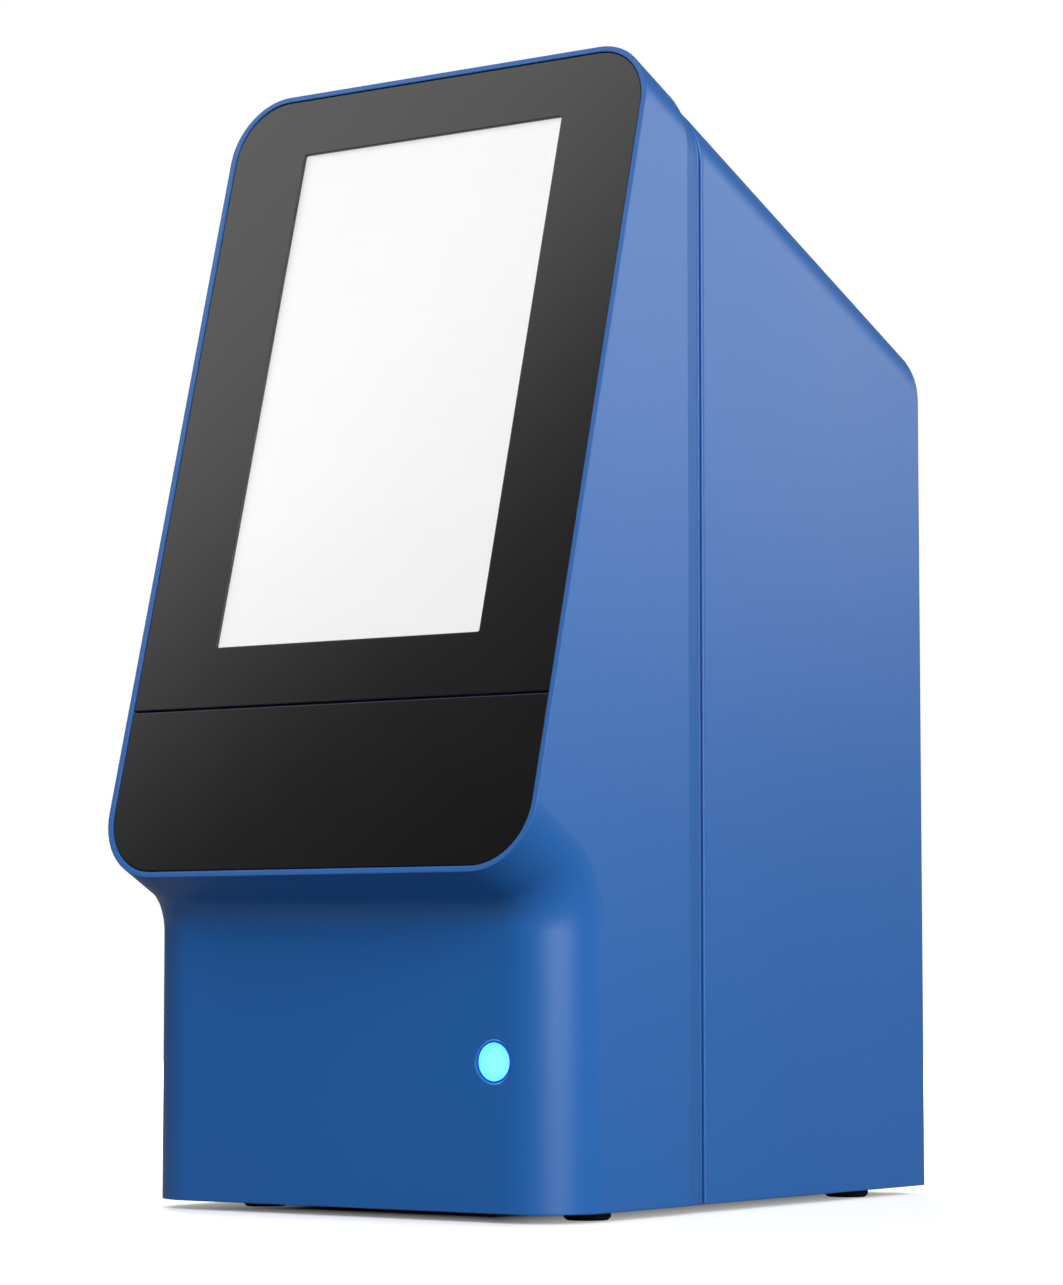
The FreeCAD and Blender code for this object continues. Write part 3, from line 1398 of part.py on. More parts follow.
def top_axle(name, y, drop, radius, half):
    """A round bar along X, its middle on the symmetry plane, under the sloping top."""
    return rod(name, "x", (f"-({half})", y, f"-({drop})"), radius, f"2 * ({half})", TOP)


def top_block(name, half, y, z):
    """A block centred across the sloping top."""
    return block(name, (f"-({half})", half), y, z, TOP)


def make_printer_door():
    under = "-(cover_inset + wall)"
    door_y = ("door_front", "door_hinge")
    lid = top_block("DoorLid", "door_half", door_y, (under, "-cover_inset"))
    barrel = top_axle("DoorBarrel", "door_hinge", "hinge_drop", "hinge_drop - cover_inset", "door_half")
    arm_y = ("platen_place - 4", "platen_place + 5")
    arm_z = ("-(platen_drop + 3.6)", under)
    near, far = "(platen_half + 0.8)", "(platen_half + 0.8 + door_arm)"
    arms = [
        block("DoorArm", (near, far), arm_y, arm_z, TOP),
        block("DoorArm", (f"-{far}", f"-{near}"), arm_y, arm_z, TOP),
    ]
    bore = "pin_radius + shaft_clearance"
    bores = [
        top_axle("HingeBore", "door_hinge", "hinge_drop", bore, "door_half + 1"),
        top_axle("PlatenBore", "platen_place", "platen_drop", bore, "door_half + 1"),
    ]
    node("printer_door", cut("PrinterDoor", fused("DoorBody", [lid, barrel] + arms), bores))
    roller = top_axle("Roller", "platen_place", "platen_drop", "platen_radius", "platen_half")
    spindle = top_axle("RollerShaft", "platen_place", "platen_drop", "pin_radius", "platen_half + 4")
    node("platen_roller", fused("PlatenRoller", [roller, spindle]))
    pin = top_axle("HingePin", "door_hinge", "hinge_drop", "pin_radius", "door_half + 2.5")
    node("door_hinge_pin", pin)


def paper_bucket():
    """The open trough that a roll of labels drops into."""
    room = "(roll_radius + 2)"
    shell = f"({room} + bucket_wall)"
    end = "(bucket_half + bucket_wall)"
    outer_y = (f"roll_centre - {shell}", f"roll_centre + {shell}")
    inner_y = (f"roll_centre - {room}", f"roll_centre + {room}")
    trough = fused("TroughOut", [
        top_axle("TroughRound", "roll_centre", "roll_drop", shell, end),
        top_block("TroughUp", end, outer_y, ("-roll_drop", "-brim_drop")),
    ])
    hollow = fused("TroughIn", [
        top_axle("TroughBore", "roll_centre", "roll_drop", room, "bucket_half"),
        top_block("TroughOpen", "bucket_half", inner_y, ("-roll_drop", "5")),
    ])
    above = ("-brim_drop", "5")
    lid_cut = top_block("TroughTop", "bucket_half + 10", ("door_front", "door_hinge + 8"), above)
    return cut("Bucket", trough, [hollow, lid_cut])


def make_printer():
    under = "-(cover_inset + wall)"
    cheek_in = "(door_half + door_gap)"
    cheek_out = f"({cheek_in} + cheek_wall)"
    head_y = "(platen_place - platen_radius - head_gap)"
    beam_y = f"({head_y} - head_depth - beam_wall)"
    cheek_y = (beam_y, "door_hinge + 5")
    tie_y = ("roll_centre - 20", "roll_centre + 20")
    parts = [paper_bucket()]
    for near, far, y, z in (
        (cheek_in, cheek_out, cheek_y, ("-cheek_drop", under)),
        ("bucket_half", cheek_out, tie_y, ("-cheek_drop", "-(cheek_drop - 8)")),
        (cheek_in, f"{cheek_out} + cheek_flange", cheek_y, (f"{under} - bucket_wall", under)),
    ):
        parts.append(block("Cheek", (near, far), y, z, TOP))
        parts.append(block("Cheek", (f"-({far})", f"-({near})"), y, z, TOP))
    parts.append(top_block("HeadBeam", cheek_in, (beam_y, f"{beam_y} + beam_wall"), ("-20", "-7")))
    pins = top_axle("PinHole", "door_hinge", "hinge_drop", "pin_radius + 0.02", f"{cheek_out} + 1")
    bay = top_block("FrameInside", "bucket_half", tie_y, ("-cheek_drop", "5"))
    node("printer_frame", cut("PrinterFrame", fused("PrinterBody", parts), [pins, bay]))
    head_z = ("-(platen_drop + 3)", "-(platen_drop - 2)")
    node("print_head", top_block("HeadBlock", "platen_half", (f"{head_y} - head_depth", head_y), head_z))
    bar_y = ("door_front - paper_slot - 4", "door_front - paper_slot")
    node("tear_bar", top_block("TearBar", "door_half - 2", bar_y, (f"{under} - 1.2", under)))
    motor_start = (cheek_out, "platen_place + 13", "-18")
    motor = rod("FeedMotor", "x", motor_start, "feed_motor_radius", "feed_motor_length", TOP)
    node("printer_motor", motor)


def check_and_write():
    """Stop on any failed object or bad shape, then write one file for each piece."""
    doc.recompute()
    for item in doc.Objects:
        if "Invalid" in item.State or "Error" in item.State:
            raise RuntimeError(f"{item.Name} did not rebuild")
    for name, thing in NODES.items():
        if thing.Shape.isNull() or not thing.Shape.isValid():
            raise RuntimeError(f"{name} has no valid shape")
    os.makedirs("parts", exist_ok=True)
    for name, thing in NODES.items():
        thing.Shape.exportStep(f"parts/{name}.step")


make_front_housing()
make_rear_cover()
make_base_plate()
make_floor_screws()
make_feet()
make_display()
make_frames()
make_guides()
make_drawer()
make_pinion()
make_button()
make_optics()
make_boards()
make_ports()
make_speaker()
make_fan()
make_printer_door()
make_printer()
check_and_write()
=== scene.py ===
import math

import bpy
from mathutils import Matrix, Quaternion, Vector


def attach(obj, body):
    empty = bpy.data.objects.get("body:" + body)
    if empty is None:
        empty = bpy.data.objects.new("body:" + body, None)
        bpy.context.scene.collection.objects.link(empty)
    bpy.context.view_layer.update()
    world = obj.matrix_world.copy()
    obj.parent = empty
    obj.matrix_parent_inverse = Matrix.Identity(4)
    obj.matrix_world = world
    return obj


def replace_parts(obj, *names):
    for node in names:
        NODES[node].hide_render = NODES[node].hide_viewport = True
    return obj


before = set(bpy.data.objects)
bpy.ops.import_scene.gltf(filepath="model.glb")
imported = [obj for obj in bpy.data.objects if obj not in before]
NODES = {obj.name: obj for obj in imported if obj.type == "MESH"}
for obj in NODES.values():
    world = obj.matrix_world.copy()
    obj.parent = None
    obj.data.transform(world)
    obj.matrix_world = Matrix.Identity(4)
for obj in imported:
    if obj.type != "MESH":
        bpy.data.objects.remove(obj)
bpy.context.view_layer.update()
MM = 0.001

# Lengths are millimetres, as in the CAD part, and so are those that a modelling function takes.
# A length that a finish compares with its coordinates is in metres, written with MM. The camera,
# the lamps and the floor's light, at the end of these constants, are in metres too.

# The analyzer's outline on the table: half its width, half its depth
HALF_WIDTH = 74 * MM
HALF_DEPTH = 104 * MM

# The slanted face of the hood: how far it leans back, and its lower edge
FACE_LEAN = math.radians(14.83)
FACE_EDGE_Y = -104 * MM
FACE_EDGE_Z = 92.4 * MM

# Depths behind that face: just past the display's lit front, and where its board's parts begin
LIT_DEPTH = 2.45 * MM
SCREEN_BOARD_DEPTH = 13.65 * MM

# The touch glass: half its width, its front and back behind the slanted face, its ends along it
GLASS_HALF = 49.5
GLASS_FRONT = 1.3
GLASS_BACK = 2.3
GLASS_START = 63.6
GLASS_END = 223.4

# The sloping top of the rear cover: how far it falls, and its front edge
TOP_FALL = math.radians(23.67)
TOP_EDGE_Y = -42.68
TOP_EDGE_Z = 324

# The open groove between the front housing and the rear cover, which carries a painted shadow: its
# middle, and half its width
GROOVE_MIDDLE = -18.52 * MM
GROOVE_HALF = 0.76 * MM

# The lit page dims towards its top, between these heights at its middle and lower ones at its left
PAGE_BRIGHT_Z = 200 * MM
PAGE_DIM_Z = 310 * MM
PAGE_SLOPE = 0.2

# The lit button: its middle, and the radii between which its light turns bluer
BUTTON_X = 50.95 * MM
BUTTON_Z = 42.46 * MM
BUTTON_BRIGHT = 3.5 * MM
BUTTON_RIM = 5 * MM

# The ring round it: its face, and where its bore begins behind it
RING_FACE_Y = -86.4 * MM
RING_BORE_Y = -86.2 * MM

# The faces of the boards that carry parts, how far above a face the board's finish turns from
# laminate to parts, and where the main board's added parts start, just inside its face
MAIN_BOARD_Z = 13.6
POWER_BOARD_X = -60.4
BUTTON_BOARD_Y = -69.9
PART_LEVEL = 0.15 * MM
SEAT = 13.55

# Countersunk screws: shank, head, and the arms of the cross recess
SCREW_RADIUS = 1.25
SCREW_HEAD = 1.1
RECESS_REACH = 1.45
RECESS_HALF = 0.28
RECESS_DEPTH = 0.8

FLOOR_SCREWS = [(63.5, -76.55, 2.5), (-63.5, -76.55, 2.5), (66.25, 97.0, 2.5), (-66.25, 97.0, 2.5)]
FAN_SCREWS = [(x, 104.0, 184 + z) for x in (25, -25) for z in (25, -25)]

HUB_CENTRE = (0, -50, 112)
USB_STEP = (0, 0, 7.5)
FUSE_CAP_STEP = (0, 16.5, 0)
SMALL_PART_FIELDS = ((-8, -16), (20, -14), (4, 40), (-20, 22), (22, 72), (-40, 76))

# How closely a face's normal follows a direction that it looks along, as a cosine
ALIGNED = 0.9

# Where the photograph was taken from, along which line, and with which lens
VIEWPOINT = (0.66369, -0.93188, 0.06592)
VIEW_LINE = (-0.57704, 0.81237, 0.08412)
FOCAL_LENGTH = 109.72
SENSOR_WIDTH = 36.0

LAMP_AIM = Vector((0.0, -0.06, 0.19))

# Light from the room itself: on the surfaces, in their reflections, and from the backdrop in them
AMBIENT = 0.1
ROOM_GLOW = 0.02
SHEEN_BACKDROP = 0.25

# The backdrop's soft outline round the camera's line, as cosines
BACKDROP_EDGE = 0.6
BACKDROP_FULL = 0.95

# The floor's glow close to the analyzer, the distances between which it rises to white, and how
# much of the floor's paleness its reflections show
FLOOR_GLOW = 0.48
FLOOR_NEAR = 0.3
FLOOR_FAR = 1.2
FLOOR_MIRRORED = 0.04

# The painted shade on the floor under the body: from where to where the glow fades in, past the
# body's outline
SHADE_INNER = -0.04
SHADE_OUTER = 0.004

# Softboxes: place, width and height in metres, watts, and how far each is rolled on its stand
SOFTBOXES = {
    "key softbox": ((1.2, -0.9, 0.7), (1.1, 1.1), 29.0, 0),
    "left softbox": ((-0.79, -0.52, 0.877), (0.58, 1.0), 4.0, -20),
    "rear right softbox": ((1.05, 1.25, 0.66), (1.0, 0.7), 7.6, 0),
    "rear left softbox": ((-1.15, 1.2, 0.8), (1.0, 1.0), 24.0, 0),
    "overhead softbox": ((0.0, -0.2, 1.7), (1.2, 1.2), 2.2, 0),
}


class Wire:
    """One output of a shader node, for use in arithmetic."""

    def __init__(self, nodes, socket):
        self.nodes = nodes
        self.socket = socket

    def __add__(self, other):
        return self.nodes.maths("ADD", self, other)

    def __sub__(self, other):
        return self.nodes.maths("SUBTRACT", self, other)

    def __rsub__(self, other):
        return self.nodes.maths("SUBTRACT", other, self)

    def __mul__(self, other):
        return self.nodes.maths("MULTIPLY", self, other)

    def __gt__(self, other):
        return self.nodes.maths("GREATER_THAN", self, other)

    def __lt__(self, other):
        return self.nodes.maths("LESS_THAN", self, other)

    __radd__ = __add__
    __rmul__ = __mul__


class Nodes:
    """A node tree that is filled node by node."""

    def __init__(self, tree):
        self.tree = tree
        self.tree.nodes.clear()

    def add(self, kind, settings=None, inputs=(), output=0):
        """Add a node, set it up, and feed its sockets with values or wires."""
        node = self.tree.nodes.new(kind)
        for key, value in (settings or {}).items():
            setattr(node, key, value)
        pairs = inputs.items() if isinstance(inputs, dict) else enumerate(inputs)
        for key, value in pairs:
            if isinstance(value, Wire):
                self.tree.links.new(value.socket, node.inputs[key])
            else:
                node.inputs[key].default_value = value
        return Wire(self, node.outputs[output])

    def maths(self, operation, *values):
        return self.add("ShaderNodeMath", {"operation": operation}, values)

    def ramp(self, value, low, high, start=0.0, end=1.0):
        """Carry a range of one value over to a range of another, and stop at its ends."""
        return self.add("ShaderNodeMapRange", {"clamp": True}, [value, low, high, start, end])

    def outputs(self, wire, names):
        """Wires from several outputs of the node that a wire comes from."""
        sockets = wire.socket.node.outputs
        return [Wire(self, sockets[name]) for name in names]

    def light_path(self):
        """1 for camera rays, for rays off a glossy surface, and for rays through glass."""
        kinds = ("Is Camera Ray", "Is Glossy Ray", "Is Transmission Ray")
        return self.outputs(self.add("ShaderNodeLightPath"), kinds)

    def close(self, shader, kind):
        """Lead the last shader to the tree's output."""
        output = self.tree.nodes.new(kind)
        self.tree.links.new(shader.socket, output.inputs["Surface"])


class Finish(Nodes):
    """A material that ends in one plastic, metal or glass shader."""

    def __init__(self, name):
        self.material = bpy.data.materials.new(name)
        self.material.use_nodes = True
        super().__init__(self.material.node_tree)

    def place(self):
        return self.add("ShaderNodeTexCoord", output="Object")

    def axes(self):
        """The three object coordinates as numbers, in metres."""
        return self.outputs(self.add("ShaderNodeSeparateXYZ", inputs=[self.place()]), "XYZ")

    def stretched(self, scale):
        """Object coordinates, scaled by a different amount along each axis."""
        return self.add("ShaderNodeMapping", inputs={"Vector": self.place(), "Scale": scale})

    def noise(self, size, detail=2.0, rough=0.5, vector=None):
        """Noise with features about so many metres across."""
        inputs = {"Scale": 1.0 / size, "Detail": detail, "Roughness": rough}
        inputs["Vector"] = vector or self.place()
        return self.add("ShaderNodeTexNoise", inputs=inputs, output="Fac")

    def cells(self, size, feature="F1", output="Distance", vector=None):
        """Scattered cells about so many metres across."""
        inputs = {"Scale": 1.0 / size, "Vector": vector or self.place()}
        return self.add("ShaderNodeTexVoronoi", {"feature": feature}, inputs, output)

    def blend(self, factor, first, second):
        """A colour between two colours. The node's colour sockets are 6 and 7, its result 2."""
        inputs = {0: factor, 6: self.colour(first), 7: self.colour(second)}
        return self.add("ShaderNodeMix", {"data_type": "RGBA"}, inputs, output=2)

    def colour(self, value):
        return value if isinstance(value, Wire) else (*(linear(part) for part in value), 1.0)

    def bump(self, height, depth, normal=None):
        """Surface relief of a height from 0 to 1, so many metres deep."""
        inputs = {"Height": height, "Distance": depth, "Strength": 1.0}
        if normal:
            inputs["Normal"] = normal
        return self.add("ShaderNodeBump", inputs=inputs)

    def rounded_edges(self, radius):
        return self.add("ShaderNodeBevel", {"samples": 6}, {"Radius": radius})

    def done(self, inputs):
        """Close the material with its shader."""
        values = dict(inputs)
        values["Base Color"] = self.colour(values["Base Color"])
        if "Emission Color" in values:
            values["Emission Color"] = self.colour(values["Emission Color"])
            values.setdefault("Emission Strength", 1.0)
        shader = self.add("ShaderNodeBsdfPrincipled", inputs=values)
        self.close(shader, "ShaderNodeOutputMaterial")
        return self.material


def linear(part):
    """A display value from 0 to 1 as light."""
    return part / 12.92 if part <= 0.04045 else ((part + 0.055) / 1.055) ** 2.4


def shade(red, green, blue):
    """A display colour, from parts of 0 to 255."""
    return (red / 255, green / 255, blue / 255)


HOUSING_BLUE = shade(28, 97, 171)
HOUSING_BLUE_DEEP = shade(26, 93, 166)
# Painted shadow: the housing blue darkened for the shade that falls in the seam's groove
SEAM_PAINTED_SHADOW = shade(18, 70, 138)
PANEL_BLACK = shade(11, 11, 12)
PANEL_BLACK_SOFT = shade(14, 14, 15)
ZINC_LIGHT = shade(196, 199, 203)
ZINC_DARK = shade(164, 168, 174)
STEEL = shade(186, 188, 190)
ALUMINIUM = shade(204, 206, 209)
RUBBER_BLACK = shade(22, 22, 23)
BOARD_GREEN = shade(18, 86, 52)
TRACK_GREEN = shade(38, 118, 74)
EPOXY_BLACK = shade(26, 27, 29)
TIN = shade(205, 206, 202)
ACETAL = shade(232, 229, 218)
CHARCOAL = shade(52, 54, 57)
DARK = (0.0, 0.0, 0.0)
WHITE = (1.0, 1.0, 1.0)


def moulded_blue():
    """Mid-gloss moulded plastic with a fine spark-eroded skin, and a painted shadow in the seam's
    groove.
    """
    finish = Finish("moulded blue plastic")
    _, y, _ = finish.axes()
    # Mask of the seam's groove, where the blue is darkened as a painted shadow
    groove = finish.maths("COMPARE", y, GROOVE_MIDDLE, GROOVE_HALF)
    flow = finish.noise(0.09, detail=3.0, vector=finish.stretched((1.0, 1.0, 0.45)))
    grain = finish.noise(0.0006)
    peel = finish.noise(0.006)
    edges = finish.rounded_edges(0.0006)
    skin = finish.bump(peel, 0.00002, edges)
    skin_colour = finish.blend(flow, HOUSING_BLUE_DEEP, HOUSING_BLUE)
    return finish.done({
        "Base Color": finish.blend(groove, skin_colour, SEAM_PAINTED_SHADOW),
        "Roughness": finish.ramp(flow * 0.5 + grain * 0.5, 0.2, 0.8, 0.36, 0.44),
        "Normal": finish.bump(grain, 0.000006, skin),
    })


def satin_black():
    """The black front panels: fine satin texture that spreads the light."""
    finish = Finish("satin black plastic")
    cloud = finish.noise(0.05, detail=3.0)
    grain = finish.noise(0.0004)
    edges = finish.rounded_edges(0.0004)
    return finish.done({
        "Base Color": finish.blend(cloud, PANEL_BLACK, PANEL_BLACK_SOFT),
        "Roughness": finish.ramp(cloud * 0.4 + grain * 0.6, 0.2, 0.8, 0.2, 0.25),
        "Normal": finish.bump(grain, 0.000005, edges),
    })


def touch_glass():
    """Clear glass with an etched front, a touch duller where it has been wiped."""
    finish = Finish("touch glass")
    smear = finish.noise(0.03, detail=4.0, rough=0.6)
    return finish.done({
        "Base Color": shade(252, 253, 253),
        "Roughness": finish.ramp(smear, 0.35, 0.75, 0.178, 0.188),
        "Transmission Weight": 1.0,
        "IOR": 1.5,
    })


def lens_glass():
    """Polished glass with a faintly tinted coating."""
    finish = Finish("lens glass")
    coating = finish.noise(0.004)
    return finish.done({
        "Base Color": finish.blend(coating, shade(236, 240, 252), shade(248, 244, 255)),
        "Roughness": finish.ramp(coating, 0.3, 0.7, 0.02, 0.05),
        "Transmission Weight": 1.0,
        "IOR": 1.5,
    })


def face_depth(finish):
    """How far a point lies behind the slanted face, in metres."""
    _, y, z = finish.axes()
    return (y - FACE_EDGE_Y) * math.cos(FACE_LEAN) - (z - FACE_EDGE_Z) * math.sin(FACE_LEAN)


def lit_screen():
    """The lit front of the display, a touch dimmer at the top, in a steel can."""
    finish = Finish("lit screen")
    x, _, z = finish.axes()
    lit = face_depth(finish) < LIT_DEPTH
    fade = finish.ramp(z - x * PAGE_SLOPE, PAGE_BRIGHT_Z, PAGE_DIM_Z)
    page = finish.blend(fade, shade(247, 246, 245), shade(236, 235, 234))
    return finish.done({
        "Base Color": finish.blend(lit, ZINC_DARK, shade(20, 20, 22)),
        "Roughness": finish.ramp(finish.noise(0.01), 0.3, 0.7, 0.3, 0.4),
        "Metallic": 1.0 - lit,
        "Emission Color": finish.blend(lit, DARK, page),
    })


def zinc_sheet():
    """Plated sheet with faint crystals and rolling lines."""
    finish = Finish("zinc plated sheet")
    crystal = finish.cells(0.004, output="Color")
    flake = finish.add("ShaderNodeSeparateColor", inputs=[crystal])
    lines = finish.noise(0.001, detail=3.0, vector=finish.stretched((1.0, 0.04, 1.0)))
    edges = finish.rounded_edges(0.0003)
    return finish.done({
        "Base Color": finish.blend(flake * 0.6 + lines * 0.4, ZINC_DARK, ZINC_LIGHT),
        "Metallic": 1.0,
        "Roughness": finish.ramp(flake * 0.5 + lines * 0.5, 0.2, 0.8, 0.28, 0.44),
        "Normal": finish.bump(lines, 0.000004, edges),
    })


def turned_metal(name, colour, rough, scale=(1.0, 1.0, 1.0)):
    """Machined, drawn or plated metal with fine tool lines."""
    finish = Finish(name)
    lines = finish.noise(0.0005, detail=3.0, vector=finish.stretched(scale))
    stain = finish.noise(0.01, detail=3.0)
    edges = finish.rounded_edges(0.00025)
    dull = tuple(part * 0.9 for part in colour)
    return finish.done({
        "Base Color": finish.blend(stain, dull, colour),
        "Metallic": 1.0,
        "Roughness": finish.ramp(lines * 0.6 + stain * 0.4, 0.2, 0.8, rough - 0.07, rough + 0.07),
        "Normal": finish.bump(lines, 0.000003, edges),
    })


def dull_plastic(name, colour, rough):
    """Moulded plastic with a fine matt skin and a little shading."""
    finish = Finish(name)
    cloud = finish.noise(0.02, detail=3.0)
    grain = finish.noise(0.0005)
    edges = finish.rounded_edges(0.0003)
    deep = tuple(part * 0.88 for part in colour)
    return finish.done({
        "Base Color": finish.blend(cloud, deep, colour),
        "Roughness": finish.ramp(cloud * 0.5 + grain * 0.5, 0.2, 0.8, rough - 0.06, rough + 0.06),
        "Normal": finish.bump(grain, 0.00001, edges),
    })


def soft_rubber(name, colour, rough):
    """Matt rubber with a fine ground skin and pale dust."""
    finish = Finish(name)
    dust = finish.noise(0.004, detail=4.0, rough=0.6)
    grain = finish.noise(0.0003)
    dusty = tuple(min(1.0, part + 0.06) for part in colour)
    return finish.done({
        "Base Color": finish.blend(finish.ramp(dust, 0.45, 0.75), colour, dusty),
        "Roughness": finish.ramp(dust, 0.3, 0.7, rough - 0.05, rough + 0.05),
        "Normal": finish.bump(grain, 0.00002),
    })


def circuit_card(name, height):
    """Green laminate with tracks and tinned pads; what stands above the card is black epoxy."""
    finish = Finish(name)
    stands = height(finish) > PART_LEVEL
    weave = finish.stretched((1.0, 0.35, 0.6))
    lanes = finish.cells(0.0022, feature="DISTANCE_TO_EDGE", vector=weave)
    track = finish.ramp(lanes, 0.05, 0.09, 1.0, 0.0)
    pads = finish.ramp(finish.cells(0.0031), 0.14, 0.17, 1.0, 0.0)
    green = finish.blend(track, BOARD_GREEN, TRACK_GREEN)
    card = finish.blend(pads, green, TIN)
    body = finish.blend(finish.noise(0.003, detail=3.0), EPOXY_BLACK, shade(38, 39, 41))
    return finish.done({
        "Base Color": finish.blend(stands, card, body),
        "Metallic": pads * (1.0 - stands),
        "Roughness": finish.ramp(finish.noise(0.002) + stands * 0.3, 0.3, 1.0, 0.28, 0.55),
        "Normal": finish.bump(track + pads, 0.00003, finish.rounded_edges(0.0002)),
    })


def lit_button():
    """Translucent cap with an even cold light, a touch brighter in its middle."""
    finish = Finish("lit button")
    x, _, z = finish.axes()
    across = x - BUTTON_X
    up = z - BUTTON_Z
    reach = finish.maths("SQRT", across * across + up * up)
    glow = finish.ramp(reach, BUTTON_BRIGHT, BUTTON_RIM)
    return finish.done({
        "Base Color": finish.blend(glow, shade(70, 190, 210), shade(50, 160, 210)),
        "Roughness": finish.ramp(finish.noise(0.002), 0.3, 0.7, 0.3, 0.4),
        "Emission Color": finish.blend(glow, shade(135, 246, 250), shade(96, 222, 246)),
        "Emission Strength": 0.95,
    })


def glowing_ring():
    """The guide round the button: its face glows deep blue, and its bore has a painted glow in the
    button's cyan that stands in for the cap's light.
    """
    finish = Finish("glowing ring")
    _, y, _ = finish.axes()
    # Painted glow: from the face inwards the bore emits the cap's cyan light as its own
    bore = finish.ramp(y, RING_FACE_Y, RING_BORE_Y)
    return finish.done({
        "Base Color": finish.blend(bore, shade(20, 66, 160), shade(60, 170, 210)),
        "Roughness": finish.ramp(finish.noise(0.002), 0.3, 0.7, 0.25, 0.35),
        "Emission Color": finish.blend(bore, shade(19, 49, 159), shade(120, 236, 250)),
        "Emission Strength": 0.95,
    })


def height_above(axis, level, sign=1.0):
    """A function that measures the distance from a level along one axis."""
    return lambda finish: (finish.axes()[axis] - level * MM) * sign


FINISHES = {
    "blue": moulded_blue(),
    "black": satin_black(),
    "glass": touch_glass(),
    "screen": lit_screen(),
    "zinc": zinc_sheet(),
    "screw": turned_metal("plated screw", STEEL, 0.3),
    "pin": turned_metal("ground pin", shade(200, 201, 203), 0.18, (0.05, 1.0, 1.0)),
    "motor": turned_metal("drawn motor can", shade(176, 178, 181), 0.3, (0.2, 1.0, 1.0)),
    "alloy": turned_metal("machined alloy", ALUMINIUM, 0.32, (1.0, 0.1, 1.0)),
    "anodised": turned_metal("black anodised alloy", shade(44, 45, 48), 0.42),
    "shield": turned_metal("tinned shield", shade(208, 209, 208), 0.24),
    "tray": dull_plastic("charcoal tray plastic", CHARCOAL, 0.46),
    "acetal": dull_plastic("natural acetal", ACETAL, 0.36),
    "fan": dull_plastic("fan plastic", shade(30, 30, 32), 0.48),
    "socket": dull_plastic("socket plastic", shade(28, 28, 29), 0.5),
    "printer": dull_plastic("printer plastic", shade(58, 59, 62), 0.5),
    "foot": soft_rubber("foot rubber", RUBBER_BLACK, 0.8),
    "platen": soft_rubber("platen rubber", shade(46, 46, 48), 0.62),
    "main card": circuit_card("main card", height_above(2, MAIN_BOARD_Z)),
    "power card": circuit_card("power card", height_above(0, POWER_BOARD_X)),
    "button card": circuit_card("button card", height_above(1, BUTTON_BOARD_Y, -1.0)),
    "screen card": circuit_card(
        "screen card", lambda finish: face_depth(finish) - SCREEN_BOARD_DEPTH),
    "gold": turned_metal("gold plating", shade(214, 178, 98), 0.24),
    "tin": turned_metal("tinned brass", TIN, 0.3),
    "can": turned_metal("aluminium can", shade(198, 200, 203), 0.26),
    "ferrite": dull_plastic("ferrite", shade(44, 45, 48), 0.55),
    "chip": dull_plastic("chip resin", shade(30, 31, 33), 0.5),
    "sleeve": dull_plastic("capacitor sleeve", shade(24, 26, 40), 0.4),
    "ceramic": dull_plastic("sintered ceramic", shade(168, 140, 104), 0.5),
    "resistor": dull_plastic("resistor glaze", shade(34, 34, 36), 0.32),
    "white socket": dull_plastic("white socket nylon", shade(228, 226, 216), 0.45),
    "tape": dull_plastic("yellow winding tape", shade(214, 176, 52), 0.42),
    "light window": dull_plastic("clear light window", shade(206, 214, 196), 0.22),
    "lens": lens_glass(),
    "button": lit_button(),
    "ring": glowing_ring(),
}

NODE_FINISH = {
    "blue": ("front_housing", "rear_cover", "printer_door"),
    "black": ("display_bezel", "drawer_front"),
    "glass": ("touch_panel",),
    "screen": ("display_module",),
    "zinc": ("base_plate", "side_frame_left", "side_frame_right", "chassis_deck",
             "display_bracket", "optics_deck_plate"),
    "screw": ("floor_screws", "fan_screws", "board_standoffs", "power_spacers", "heater_posts"),
    "foot": ("foot_front_left", "foot_front_right", "foot_rear_left", "foot_rear_right"),
    "tray": ("disc_tray", "drawer_guide_left", "drawer_guide_right"),
    "acetal": ("drawer_pinion", "spindle_hub"),
    "motor": ("spindle_motor", "drawer_motor", "printer_motor"),
    "alloy": ("heater_plate",),
    "anodised": ("lamp_module", "detector_module"),
    "fan": ("fan_frame", "fan_rotor"),
    "socket": ("dc_inlet", "speaker"),
    "shield": ("ethernet_socket", "usb_sockets"),
    "printer": ("printer_frame", "print_head"),
    "pin": ("door_hinge_pin", "tear_bar"),
    "platen": ("platen_roller",),
    "main card": ("main_board",),
    "power card": ("power_board",),
    "button card": ("button_board",),
    "screen card": ("display_board",),
    "button": ("power_button",),
    "ring": ("button_guide",),
}


def dress_nodes():
    """Give each carried-over piece its finish."""
    for finish, names in NODE_FINISH.items():
        for name in names:
            for slot in NODES[name].material_slots:
                slot.material = FINISHES[finish]


def metres(place):
    """A place in millimetres as a vector in metres."""
    return Vector(place) * MM


def choose(*pieces):
    """Select these pieces alone, and make the first one active."""
    bpy.ops.object.select_all(action="DESELECT")
    for piece in pieces:
        piece.select_set(True)
    bpy.context.view_layer.objects.active = pieces[0]


def settle(piece):
    """Move a piece's place, turn and scale into its mesh."""
    choose(piece)
    bpy.ops.object.transform_apply(location=True, rotation=True, scale=True)
    return piece


def block(name, low, high):
    """A box between two corners."""
    low, high = metres(low), metres(high)
    bpy.ops.object.select_all(action="DESELECT")
    bpy.ops.mesh.primitive_cube_add(size=1.0, location=(low + high) / 2)
    piece = bpy.context.object
    piece.name = name
    piece.scale = high - low
    return settle(piece)


